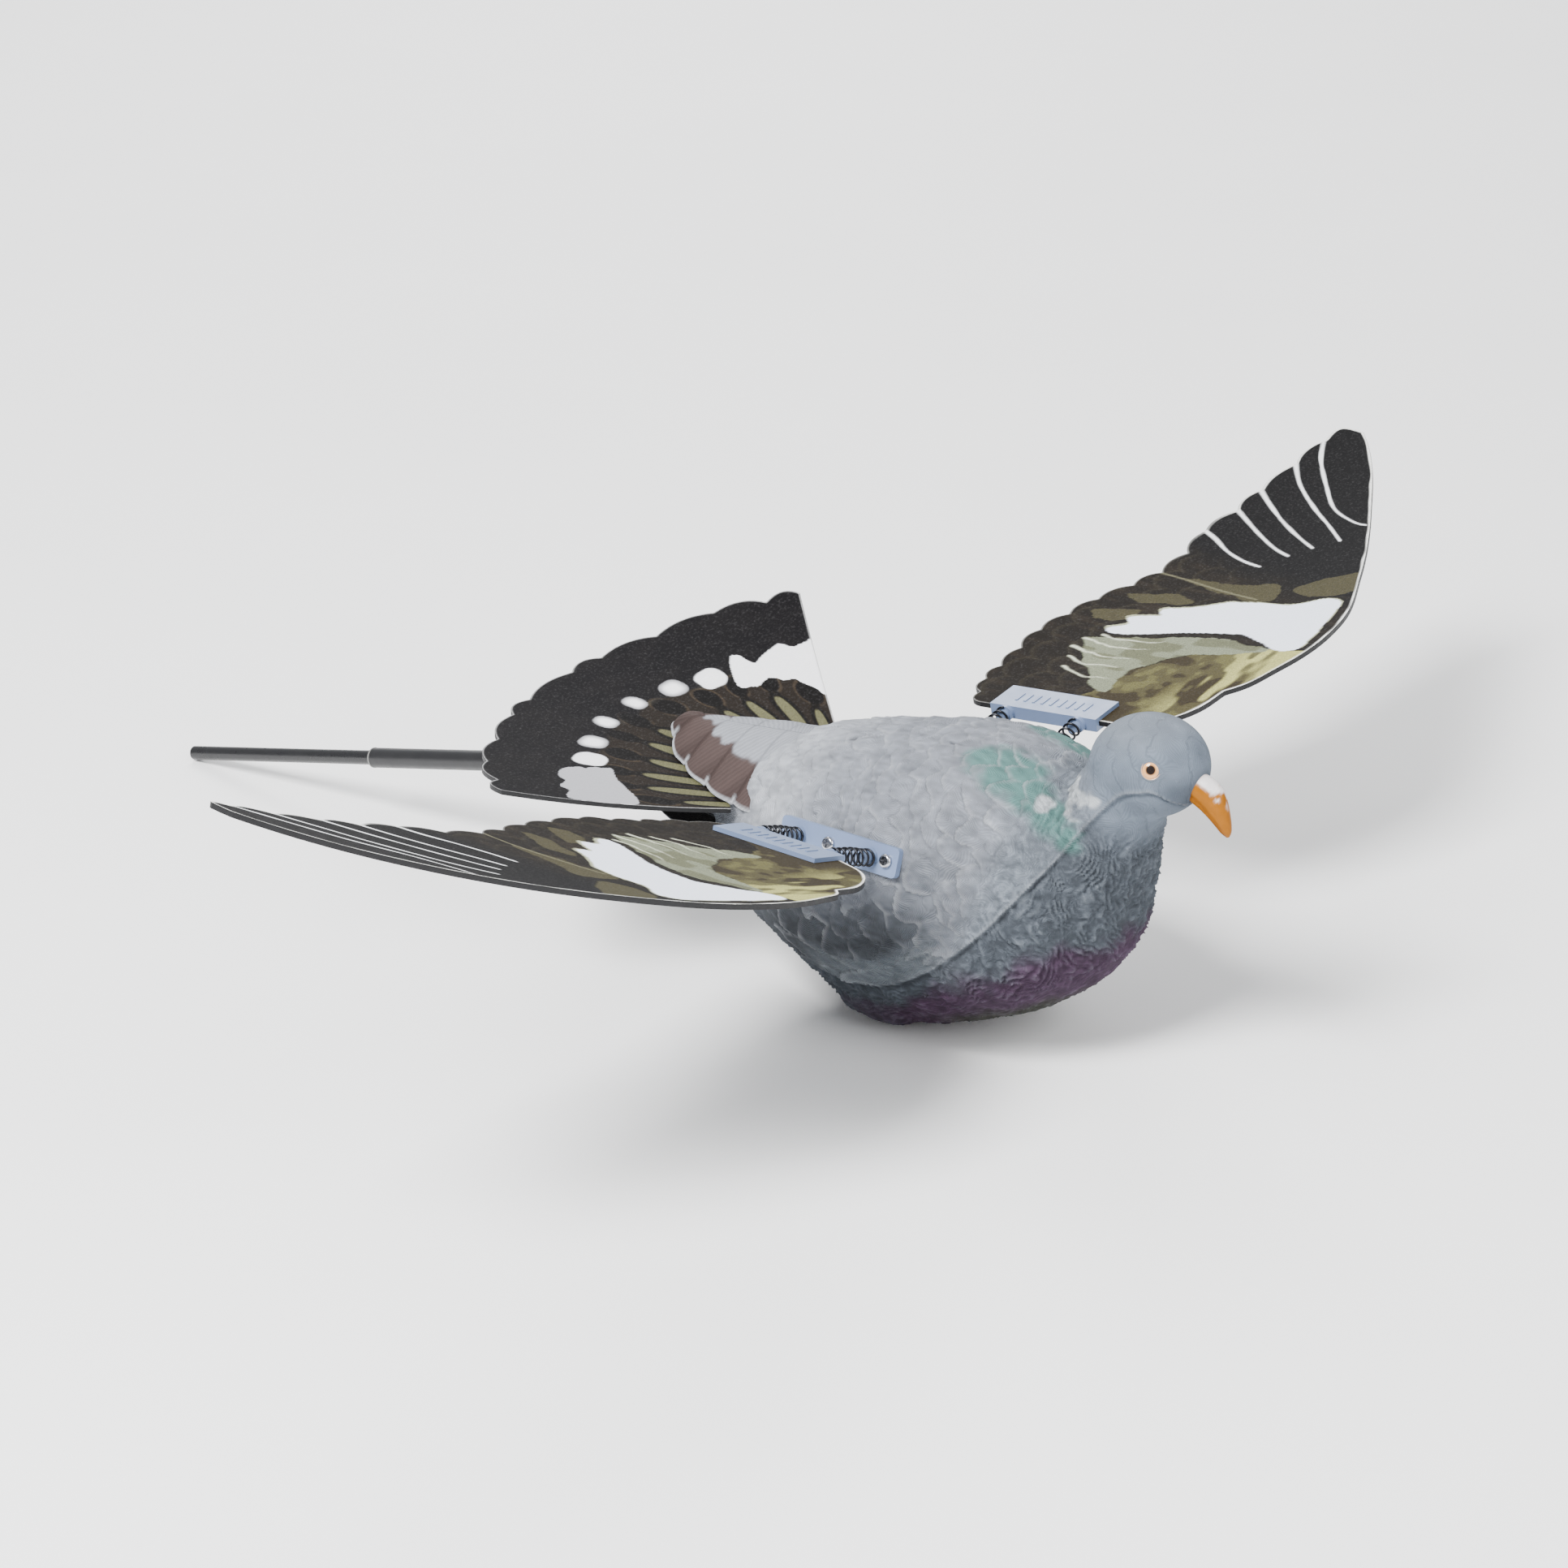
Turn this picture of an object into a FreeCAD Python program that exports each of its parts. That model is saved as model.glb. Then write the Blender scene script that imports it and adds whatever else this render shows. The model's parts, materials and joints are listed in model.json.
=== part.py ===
"""Wood-pigeon decoy with sprung flapping wings, a fan tail and a plug-in carrying rod.

Row frame: +Z up, the bird faces -Y, its left wing is on +X, and the origin is the centre of
the small flat on the belly that it rests on. All lengths are in millimetres, angles in degrees.
"""
import FreeCAD, Part
import math
import os
from FreeCAD import Placement, Rotation, Vector

DIMENSIONS = [
    # body shells
    ("body_halfwidth", 61.5), ("body_rise", 61.5), ("body_drop", 64.0), ("body_length", 224.0),
    ("body_mid_y", -9.0), ("body_mid_z", 64.0), ("body_tilt", 14.2), ("shell_wall", 2.4),
    ("head_halfwidth", 21.5), ("head_halflength", 27.0), ("head_halfheight", 22.0),
    ("bill_radius", 6.4), ("bill_tip_radius", 1.6), ("eye_radius", 4.1), ("eye_rise", 1.3),
    # tail fan
    ("fan_core", 1.8), ("fan_print", 0.25), ("fan_dish_radius", 330.0), ("fan_tilt", 6.9),
    ("fan_roll", -4.4), ("fan_yaw", 4.1), ("fan_z", 76.3), ("fan_pivot_y", 54.0),
    ("fan_gap", 0.3), ("stub_thick", 2.6),
    # carrying rod
    ("rod_radius", 3.4), ("rod_tip_y", 446.3), ("rod_tip_z", 3.65), ("rod_slope", 12.83),
    ("sleeve_radius", 4.75), ("sleeve_mouth_y", 323.0), ("sleeve_root_y", 44.0),
    ("socket_radius", 6.4), ("rod_grip", 60.0), ("rod_spigot", 3.2),
    ("rod_neck", 1.0), ("rod_fit", 0.05),
    # wing hinges
    ("hinge_x", 74.0), ("hinge_y", -6.0), ("hinge_z", 98.5), ("wing_sweep", 2.75),
    ("right_flap", 15.1), ("left_flap", 6.3), ("left_pitch", -4.45),
    ("right_curl_start", 30.0), ("right_curl_radius", 1400.0),
    ("left_curl_start", 190.0), ("left_curl_radius", 720.0),
    ("wing_core", 2.0), ("wing_print", 0.25),
    # clips that grip the wings
    ("clip_length", 56.0), ("clip_width", 19.0), ("left_clip_inner", 18.0),
    ("right_clip_inner", 11.5), ("clip_wall", 2.5), ("clip_back", 4.5),
    ("clip_skin", 1.9), ("spigot_pitch", 38.0), ("spigot_back", 2.0), ("spigot_radius", 2.35), ("spigot_reach", 3.6),
    ("collar_radius", 3.6), ("collar_length", 2.2), ("peg_radius", 1.2), ("peg_clear", 0.1),
    # body plates and their screws
    ("plate_length", 62.0), ("plate_height", 12.8), ("plate_thick", 3.0), ("plate_lean", 19.0),
    ("plate_x", 58.0), ("plate_z", 93.0), ("screw_front", 25.3), ("screw_rear", 5.0),
    ("screw_radius", 1.45),
    ("screw_fit", 0.05), ("screw_head_radius", 3.0), ("screw_head_height", 1.9),
    ("screw_length", 10.0), ("boss_depth", 11.0),
    # springs
    ("wire_radius", 0.55), ("coil_radius", 3.5), ("coil_turns", 7.0),
]

doc = FreeCAD.newDocument("PigeonDecoy")
sheet = doc.addObject("Spreadsheet::Sheet", "Dims")
for number, (alias, value) in enumerate(DIMENSIONS, start=1):
    sheet.set("A%d" % number, alias)
    sheet.set("B%d" % number, str(value))
    sheet.setAlias("B%d" % number, alias)
doc.recompute()


def dim(alias):
    """A driving dimension, read from the sheet."""
    return float(sheet.get(alias))


SUBPARTS = []


def subpart(obj, label, placement=None):
    """Names a finished sub-part, places it in the row frame and lists it for export."""
    obj.Label = label
    if placement is not None:
        obj.Placement = placement
    SUBPARTS.append(obj)
    return obj


def feature(label, shape, placement=None):
    """A sub-part whose shape is computed here from the sheet's values."""
    obj = doc.addObject("Part::Feature", label)
    obj.Shape = shape
    if placement is not None:
        placement = placement * shape.Placement
    return subpart(obj, label, placement)


def body(name):
    made = doc.addObject("PartDesign::Body", name)
    made.AllowCompound = True
    return made


def plane_of(owner, role):
    return next(item for item in owner.Origin.OriginFeatures if item.Role == role)


def sketch(owner, name, role, edges, offset=Vector(0, 0, 0)):
    """A sketch on one of the body's own origin planes, moved by offset in the plane's frame."""
    made = owner.newObject("Sketcher::SketchObject", name)
    made.AttachmentSupport = [(plane_of(owner, role), "")]
    made.MapMode = "FlatFace"
    made.AttachmentOffset = Placement(offset, Rotation())
    made.addGeometry(edges, False)
    return made


def pad(owner, name, profile, length, midplane=False, reverse=False):
    made = owner.newObject("PartDesign::Pad", name)
    made.Profile = profile
    made.setExpression("Length", length)
    if midplane:
        made.SideType = "Symmetric"
    made.Reversed = reverse
    return made


def pocket(owner, name, profile, length, midplane=False, reverse=False):
    """Cuts the profile and checks that material really went."""
    doc.recompute()
    before = owner.Shape.Volume
    made = owner.newObject("PartDesign::Pocket", name)
    made.Profile = profile
    made.setExpression("Length", length)
    if midplane:
        made.SideType = "Symmetric"
    made.Reversed = reverse
    doc.recompute()
    if owner.Shape.Volume >= before - 1e-6:
        raise RuntimeError("pocket %s of %s cuts nothing" % (name, owner.Name))
    return made


def rectangle(x_low, y_low, x_high, y_high):
    corners = [Vector(x_low, y_low), Vector(x_high, y_low), Vector(x_high, y_high), Vector(x_low, y_high)]
    return [Part.LineSegment(corners[i], corners[(i + 1) % 4]) for i in range(4)]


def circle(x, y, radius):
    return Part.Circle(Vector(x, y, 0), Vector(0, 0, 1), radius)


def rounded_rectangle(x_half, y_half, corner):
    """Four straight sides joined by quarter arcs."""
    edges = []
    for turn in range(4):
        angle = math.radians(90 * turn)
        wide, tall = (x_half, y_half) if turn % 2 == 0 else (y_half, x_half)
        spin = Rotation(Vector(0, 0, 1), 90 * turn)
        edges.append(Part.LineSegment(spin.multVec(Vector(wide, -tall + corner)),
                                      spin.multVec(Vector(wide, tall - corner))))
        centre = spin.multVec(Vector(wide - corner, tall - corner))
        ring = Part.Circle(centre, Vector(0, 0, 1), corner)
        edges.append(Part.ArcOfCircle(ring, angle, angle + math.pi / 2))
    return edges


def spline_edge(points, closed=False):
    curve = Part.BSplineCurve()
    curve.interpolate([Vector(*point) for point in points], PeriodicFlag=closed)
    return curve


# ---------------------------------------------------------------- frames
SHELL_FRAME = Placement(Vector(0, dim("body_mid_y"), dim("body_mid_z")),
                        Rotation(Vector(1, 0, 0), -dim("body_tilt")))
FAN_TURN = Rotation(Vector(0, 0, 1), dim("fan_yaw")) * Rotation(Vector(0, 1, 0), dim("fan_roll"))
FAN_FRAME = Placement(Vector(0, dim("fan_pivot_y"), dim("fan_z")), FAN_TURN) * Placement(
    Vector(0, dim("hinge_y") - dim("fan_pivot_y"), 0), Rotation(Vector(1, 0, 0), dim("fan_tilt")))
ROD_DIRECTION = Vector(0, math.cos(math.radians(dim("rod_slope"))), -math.sin(math.radians(dim("rod_slope"))))
ROD_TIP = Vector(0, dim("rod_tip_y"), dim("rod_tip_z"))


def rod_point(y):
    """The point of the rod's axis at a given distance behind the origin."""
    return ROD_TIP + ROD_DIRECTION * ((y - dim("rod_tip_y")) / ROD_DIRECTION.y)


def rod_frame(y):
    """Local +Z runs down the rod towards its free end."""
    return Placement(rod_point(y), Rotation(Vector(0, 0, 1), ROD_DIRECTION))


SIDES = {"left": 1, "right": -1}


def wing_frame(side):
    """Origin on the flapping axis, wing sheet in the XY plane, outward along side * X."""
    sign = SIDES[side]
    flap = dim("left_flap") if side == "left" else dim("right_flap")
    pitch = dim("left_pitch") if side == "left" else 0.0
    turn = (Rotation(Vector(0, 1, 0), -sign * flap) * Rotation(Vector(1, 0, 0), pitch)
            * Rotation(Vector(0, 0, 1), sign * dim("wing_sweep")))
    return Placement(Vector(sign * dim("hinge_x"), dim("hinge_y"), dim("hinge_z")), turn)


def plate_frame(side):
    """Origin at the centre of the plate's back, +X along its outward normal."""
    sign = SIDES[side]
    turn = Rotation(Vector(0, 1, 0), -sign * dim("plate_lean"))
    if sign < 0:
        turn = turn * Rotation(Vector(0, 0, 1), 180)
    return Placement(Vector(sign * dim("plate_x"), dim("hinge_y"), dim("plate_z")), turn)


def screw_places(side):
    """Where the plate's two screws sit along it, in the plate's frame."""
    return [-SIDES[side] * dim("screw_front"), SIDES[side] * dim("screw_rear")]


def spring_places(side):
    """Where the plate's front and rear springs sit along it, in the plate's frame."""
    half = dim("spigot_pitch") / 2
    return [SIDES[side] * (dim("spigot_back") + step * half) for step in (-1, 1)]


# ---------------------------------------------------------------- body shells
# Stations along the body axis: position, half width, top, bottom, height of the widest level,
# each as a share of body_length, body_halfwidth, body_rise, body_drop and body_drop, and the
# exponent of the superellipse that gives the section its fullness.
STATIONS = [(-0.476, 0.05, 0.12, 0.06, 0.00, 2.0), (-0.462, 0.17, 0.29, 0.23, 0.00, 2.0),
            (-0.433, 0.44, 0.48, 0.48, 0.01, 2.0), (-0.377, 0.69, 0.70, 0.71, 0.04, 2.0),
            (-0.285, 0.87, 0.88, 0.88, 0.07, 2.2), (-0.160, 0.98, 0.98, 0.975, 0.09, 2.3),
            (-0.022, 1.00, 1.00, 1.015, 0.09, 2.35), (0.134, 0.92, 1.01, 0.92, -0.02, 2.3),
            (0.268, 0.76, 0.97, 0.62, -0.16, 2.25), (0.393, 0.56, 0.90, 0.30, -0.32, 2.1),
            (0.482, 0.40, 0.81, 0.00, -0.44, 2.0), (0.527, 0.30, 0.72, -0.18, -0.48, 2.0)]
SECTION_POINTS = 20


def section(station, inset):
    share, wide, top, bottom, mid, power = station
    half = max(wide * dim("body_halfwidth") - inset, 0.8)
    centre = -mid * dim("body_drop")
    rise = max(top * dim("body_rise") - centre - inset, 0.8)
    drop = max(bottom * dim("body_drop") + centre - inset, 0.8)
    points = []
    for step in range(SECTION_POINTS):
        angle = 2 * math.pi * step / SECTION_POINTS
        across, along = math.cos(angle), math.sin(angle)
        x = half * math.copysign(abs(across) ** (2 / power), across)
        z = math.copysign(abs(along) ** (2 / power), along) * (rise if along > 0 else drop)
        points.append((x, share * dim("body_length"), centre + z))
    return Part.Wire(spline_edge(points, closed=True).toShape())


# Neck rings in the body's mid plane: axis position, height, half width, half depth, lean.
NECK = [(-70.0, -10.0, 42.0, 36.0, 42.0), (-86.0, 4.5, 35.0, 28.0, 45.0), (-98.5, 18.0, 27.0, 22.5, 48.0),
        (-109.5, 31.5, 22.0, 19.5, 52.0), (-120.5, 43.0, 19.5, 18.5, 56.0)]
HEAD_CENTRE = Vector(0, -127.2, 45.1)
BILL_BASE = Vector(0, -148.0, 34.5)
BILL_TIP = Vector(0, -159.2, 14.4)


def neck_ring(ring, inset):
    along, height, wide, deep, lean = ring
    curve = Part.Ellipse(Vector(0, 0, 0), max(wide, deep) - inset, min(wide, deep) - inset)
    wire = Part.Wire(curve.toShape())
    axis = Vector(0, -math.cos(math.radians(lean)), math.sin(math.radians(lean)))
    major = Vector(1, 0, 0) if wide >= deep else axis.cross(Vector(1, 0, 0))
    wire.Placement = Placement(Vector(0, along, height), Rotation(major, Vector(0, 0, 0), axis, "ZXY"))
    return wire


def head_solid(inset):
    ball = Part.makeSphere(1.0)
    scale = FreeCAD.Matrix()
    scale.scale(dim("head_halfwidth") - inset, dim("head_halflength") - inset, dim("head_halfheight") - inset)
    ball = ball.transformGeometry(scale)
    ball.translate(HEAD_CENTRE)
    return ball


def bird_solid(inset):
    """The closed outer form of body, neck and head, or the cavity inside it."""
    stations = [list(station) for station in STATIONS]
    if inset:
        stations = stations[2:-1]
    trunk = Part.makeLoft([section(station, inset) for station in stations], True, False)
    neck = Part.makeLoft([neck_ring(ring, inset) for ring in NECK], True, False)
    return trunk.fuse([neck, head_solid(inset)])


def bill_solid():
    """Round at the base, hooked down to a blunt tip."""
    middle = (BILL_BASE + BILL_TIP) * 0.5 + Vector(0, -2.2, 1.6)
    rings = []
    for centre, aim, radius in ((BILL_BASE, Vector(0, -1, -0.7), dim("bill_radius")),
                                (middle, Vector(0, -0.7, -1), dim("bill_radius") * 0.72),
                                (BILL_TIP, Vector(0, -0.3, -1), dim("bill_tip_radius"))):
        rings.append(Part.Wire(Part.Circle(centre, aim, radius).toShape()))
    return Part.makeLoft(rings, True, False)


# The parting line, seen from the side: from the chin down the breast, along the lower edge of
# the folded wing and up again to the rump.
PARTING = [(-190, 2), (-165, 2), (-153, 6), (-149, 16), (-146, 28), (-142, 37), (-134, 40), (-125, 39),
           (-115, 33), (-103, 23.5), (-87, 8), (-70, -6.5), (-48, -20), (-7, -33), (25, -29), (60, -14),
           (97, 5), (135, 18)]
LOWER_REACH = -90.0
SIDE_REACH = 80.0


def below_parting():
    """Everything under the parting line, as one thick block."""
    top = spline_edge([(-SIDE_REACH, along, height) for along, height in PARTING]).toShape()
    (start, _), (end, _) = PARTING[0], PARTING[-1]
    corners = [top.Vertexes[-1].Point, Vector(-SIDE_REACH, end, LOWER_REACH),
               Vector(-SIDE_REACH, start, LOWER_REACH), top.Vertexes[0].Point]
    outline = Part.Wire([top] + [Part.makeLine(corners[i], corners[i + 1]) for i in range(3)])
    return Part.Face(outline).extrude(Vector(2 * SIDE_REACH, 0, 0))


def in_shell(shape, frame):
    """Moves a shape from the row frame, or from frame, into the shells' own frame."""
    moved = shape.copy()
    moved.Placement = SHELL_FRAME.inverse() * frame * moved.Placement
    return moved


# ---------------------------------------------------------------- tail fan outline
# Half of the fan: corner of the side edge, then the notches between the lobes.
FAN_ROOT = (26.0, 62.0)
FAN_CORNER = (112.0, 147.0)
FAN_NOTCHES = [(101.0, 158.0), (85.0, 176.0), (59.2, 189.8), (33.0, 201.5), (15.7, 205.2)]
FAN_LOBE = 4.0
ROD_NOTCH = (11.0, 118.0)


def lobe(start, end, swell):
    """An arc from start to end that swells out by the given height on the left of the run."""
    run = end - start
    across = Vector(-run.y, run.x, 0)
    across.normalize()
    return Part.Arc(start, (start + end) * 0.5 + across * swell, end)


def fan_outline():
    right = [Vector(x, y, 0) for x, y in [FAN_ROOT, FAN_CORNER] + FAN_NOTCHES]
    left = [Vector(-point.x, point.y, 0) for point in reversed(right)]
    edges = [Part.LineSegment(right[0], right[1])]
    rim = right[1:] + left[:-1]
    for start, end in zip(rim, rim[1:]):
        edges.append(lobe(start, end, -FAN_LOBE))
    edges.append(Part.LineSegment(left[-2], left[-1]))
    half, depth = ROD_NOTCH
    notch = [left[-1], Vector(-half, FAN_ROOT[1], 0), Vector(-half, depth, 0), Vector(half, depth, 0),
             Vector(half, FAN_ROOT[1], 0), right[0]]
    edges.extend(Part.LineSegment(start, end) for start, end in zip(notch, notch[1:]))
    return edges


def dished(outline_edges, low, high):
    """A sheet with the given outline between two levels, dished upward across its width."""
    face = Part.Face(Part.Wire(Part.__sortEdges__([edge.toShape() for edge in outline_edges])))
    depth = 60.0
    block = face.extrude(Vector(0, 0, 2 * depth))
    block.translate(Vector(0, 0, -depth))
    radius = dim("fan_dish_radius")
    run = 400.0

    def tube(level):
        made = Part.makeCylinder(radius - level, run, Vector(0, 0, radius), Vector(0, 1, 0))
        return made

    return block.common(tube(low).cut(tube(high)))


def stub_outline():
    """The moulded feather tips over the tail's root: three steps to a blunt point."""
    half = [(36.0, 70.0), (35.0, 88.0), (27.0, 106.0), (13.5, 127.0), (0.0, 139.0)]
    points = [Vector(x, y, 0) for x, y in half] + [Vector(-x, y, 0) for x, y in reversed(half[:-1])]
    edges = [lobe(start, end, -2.0) for start, end in zip(points[1:-2], points[2:-1])]
    edges.append(Part.LineSegment(points[0], points[1]))
    edges.append(Part.LineSegment(points[-2], points[-1]))
    edges.append(Part.LineSegment(points[-1], points[0]))
    return edges


FAN_TOP = dim("fan_core") / 2 + dim("fan_print")
FAN_LOW = -dim("fan_core") / 2

# Clamp pads under the fan's root, one each side of the rod: the span each covers across and
# along the fan, and the screw that draws it up against the boss above.
PAD_SPAN = (12.0, 26.0)
PAD_FROM = 66.0
PAD_TO = 76.0
PAD_THICK = 4.0
PAD_SCREW_X = sum(PAD_SPAN) / 2
PAD_SCREW_Y = (PAD_FROM + PAD_TO) / 2
BOSS_TOP = 60.0


def block(x_low, x_high, y_low, y_high, z_low, z_high):
    return Part.makeBox(x_high - x_low, y_high - y_low, z_high - z_low, Vector(x_low, y_low, z_low))


def shells():
    outer = bird_solid(0.0)
    cavity = bird_solid(dim("shell_wall"))
    gap = dim("fan_gap")

    # Raised lands and screw bosses behind the two wing plates.
    lands = []
    for side in SIDES:
        land = block(-dim("boss_depth"), 0, -dim("plate_length") / 2, dim("plate_length") / 2,
                     -dim("plate_height") / 2, dim("plate_height") / 2)
        lands.append(in_shell(land, plate_frame(side)))
    # Bosses over the tail's root that the clamp pads are screwed up into.
    bosses = []
    for low, high in (PAD_SPAN, (-PAD_SPAN[1], -PAD_SPAN[0])):
        boss = block(low, high, PAD_FROM, PAD_TO, FAN_TOP + gap, BOSS_TOP)
        bosses.append(in_shell(boss, FAN_FRAME).common(outer))
    hollow = outer.cut(cavity).fuse(lands + bosses)

    stub = in_shell(dished(stub_outline(), FAN_TOP + gap, FAN_TOP + gap + dim("stub_thick")), FAN_FRAME)
    hollow = hollow.fuse([stub.cut(cavity), bill_solid().cut(cavity)])

    slot = in_shell(dished([edge for edge in fan_slot_outline()], FAN_LOW - gap, FAN_TOP + gap), FAN_FRAME)
    socket_hole = Part.makeCylinder(dim("socket_radius") + dim("rod_fit"), 160.0)
    socket_hole = in_shell(socket_hole, rod_frame(BULKHEAD_Y))
    hollow = hollow.cut([slot, socket_hole])

    drills = []
    for side in SIDES:
        for y in screw_places(side):
            drill = Part.makeCylinder(dim("screw_radius") + dim("screw_fit"), 2 * dim("boss_depth"),
                                      Vector(-dim("boss_depth") - 1, y, 0), Vector(1, 0, 0))
            drills.append(in_shell(drill, plate_frame(side)))
    for x in (-PAD_SCREW_X, PAD_SCREW_X):
        drill = Part.makeCylinder(dim("screw_radius") + dim("screw_fit"), 9.0,
                                  Vector(x, PAD_SCREW_Y, FAN_TOP), Vector(0, 0, 1))
        drills.append(in_shell(drill, FAN_FRAME))
    for sign in (-1, 1):
        drills.append(eye_shape(sign, dim("rod_fit")))
    hollow = hollow.cut(drills)

    lower_half = below_parting()
    floor = in_shell(block(-120, 120, -200, 260, -60, 0), Placement())
    upper = hollow.cut(lower_half)
    lower = hollow.common(lower_half).cut(floor)
    return biggest(upper), biggest(lower)


def biggest(shape):
    """The main solid, without any crumb that a cut has set free."""
    return max(shape.Solids, key=lambda solid: solid.Volume)


def fan_slot_outline():
    """The fan's root without its rod notch and a little wider, for the slot in the rump."""
    grow = 1.0
    (x_root, y_root), (x_tip, y_tip) = FAN_ROOT, FAN_CORNER
    points = [Vector(x_root + grow, y_root - grow, 0), Vector(x_tip + grow, y_tip - grow, 0),
              Vector(x_tip, y_tip + 90, 0), Vector(-x_tip, y_tip + 90, 0),
              Vector(-x_tip - grow, y_tip - grow, 0), Vector(-x_root - grow, y_root - grow, 0)]
    return [Part.LineSegment(points[i], points[(i + 1) % 6]) for i in range(6)]


# ---------------------------------------------------------------- eyes
EYE_CENTRE = Vector(17.9, -134.0, 145.9)
EYE_NORMAL = Vector(0.83, -0.42, 0.37)
EYE_SINK = 2.4


def eye_shape(sign, extra):
    """A lens on a short stem, in the shells' frame; extra widens it into its own socket."""
    centre = Vector(sign * EYE_CENTRE.x, EYE_CENTRE.y, EYE_CENTRE.z)
    normal = Vector(sign * EYE_NORMAL.x, EYE_NORMAL.y, EYE_NORMAL.z)
    normal.normalize()
    stem = Part.makeCylinder(dim("eye_radius") + extra, EYE_SINK + (20.0 if extra else 0.0),
                             Vector(0, 0, -EYE_SINK))
    if not extra:
        rise = dim("eye_rise")
        ball_radius = (dim("eye_radius") ** 2 + rise ** 2) / (2 * rise)
        ball = Part.makeSphere(ball_radius, Vector(0, 0, rise - ball_radius))
        cap = Part.makeCylinder(dim("eye_radius"), rise + 1).common(ball)
        stem = stem.fuse(cap).removeSplitter()
    frame = Placement(centre, Rotation(Vector(0, 0, 1), normal))
    return in_shell(stem, frame)


# ---------------------------------------------------------------- rod, sleeve and socket
BULKHEAD_Y = 70.0


def add_rod():
    sleeve_root = rod_point(dim("sleeve_root_y"))
    sleeve_length = (rod_point(dim("sleeve_mouth_y")) - sleeve_root).Length
    grip = dim("rod_grip")

    sleeve = body("sleeve")
    ring = sketch(sleeve, "sleeve_section", "XY_Plane", [circle(0, 0, dim("sleeve_radius"))])
    pad(sleeve, "sleeve_pad", ring, str(sleeve_length))
    bore = sketch(sleeve, "sleeve_bore", "XY_Plane", [circle(0, 0, dim("rod_spigot") + dim("rod_fit"))],
                  Vector(0, 0, sleeve_length))
    pocket(sleeve, "sleeve_socket", bore, "Dims.rod_grip + 0.5")
    subpart(sleeve, "rod_sleeve", rod_frame(dim("sleeve_root_y")))

    rod = body("rod_body")
    rod_length = (ROD_TIP - rod_point(dim("sleeve_mouth_y"))).Length
    spigot = sketch(rod, "rod_spigot", "XY_Plane", [circle(0, 0, dim("rod_spigot"))], Vector(0, 0, -grip))
    pad(rod, "rod_spigot_pad", spigot, "Dims.rod_grip + Dims.rod_neck")
    disc = sketch(rod, "rod_section", "XY_Plane", [circle(0, 0, dim("rod_radius"))],
                  Vector(0, 0, dim("rod_neck")))
    pad(rod, "rod_pad", disc, "%f - Dims.rod_neck" % rod_length)
    subpart(rod, "rod", rod_frame(dim("sleeve_mouth_y")))

    socket = body("socket")
    socket_root = sleeve_root - ROD_DIRECTION * 3.0
    outer = sketch(socket, "socket_section", "XY_Plane", [circle(0, 0, dim("socket_radius"))])
    pad(socket, "socket_pad", outer, "78")
    inner = sketch(socket, "socket_bore", "XY_Plane", [circle(0, 0, dim("sleeve_radius") + dim("rod_fit"))],
                   Vector(0, 0, 78))
    pocket(socket, "socket_hole", inner, "75")
    subpart(socket, "rod_socket", Placement(socket_root, Rotation(Vector(0, 0, 1), ROD_DIRECTION)))


# ---------------------------------------------------------------- tail fan, clamp bar and screws
def pad_holes(radius):
    return [Part.makeCylinder(radius, 40.0, Vector(x, PAD_SCREW_Y, -20.0))
            for x in (-PAD_SCREW_X, PAD_SCREW_X)]


def add_tail():
    clear = dim("screw_radius") + 0.25
    core = dished(fan_outline(), FAN_LOW, dim("fan_core") / 2).cut(pad_holes(clear))
    feature("tail_core", core, FAN_FRAME)
    print_sheet = dished(fan_outline(), dim("fan_core") / 2, FAN_TOP).cut(pad_holes(clear))
    feature("tail_print", print_sheet, FAN_FRAME)

    pads = []
    for low, high in (PAD_SPAN, (-PAD_SPAN[1], -PAD_SPAN[0])):
        outline = rectangle(low, PAD_FROM, high, PAD_TO)
        pads.append(dished(outline, FAN_LOW - PAD_THICK, FAN_LOW).cut(pad_holes(clear)))
    feature("tail_clamp_pads", Part.makeCompound(pads), FAN_FRAME)

    seat = FAN_LOW - PAD_THICK + 0.1
    screws = [screw_shape(Placement(Vector(x, PAD_SCREW_Y, seat), Rotation(Vector(1, 0, 0), 180)))
              for x in (-PAD_SCREW_X, PAD_SCREW_X)]
    feature("tail_clamp_screws", Part.makeCompound(screws), FAN_FRAME)


def screw_shape(frame):
    """A pan-head cross-recess screw: the head's underside at the origin, the head along +Z."""
    head = Part.makeCylinder(dim("screw_head_radius"), dim("screw_head_height"))
    head = head.makeFillet(dim("screw_head_height") * 0.6, [head.Edges[0]])
    shank = Part.makeCylinder(dim("screw_radius"), dim("screw_length"), Vector(0, 0, -dim("screw_length")))
    recess = 0.8
    arm = 1.7
    slots = [block(-arm, arm, -recess / 2, recess / 2, dim("screw_head_height") - 1.1, 4),
             block(-recess / 2, recess / 2, -arm, arm, dim("screw_head_height") - 1.1, 4)]
    made = head.fuse(shank).cut(slots)
    made.Placement = frame
    return made


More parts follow.
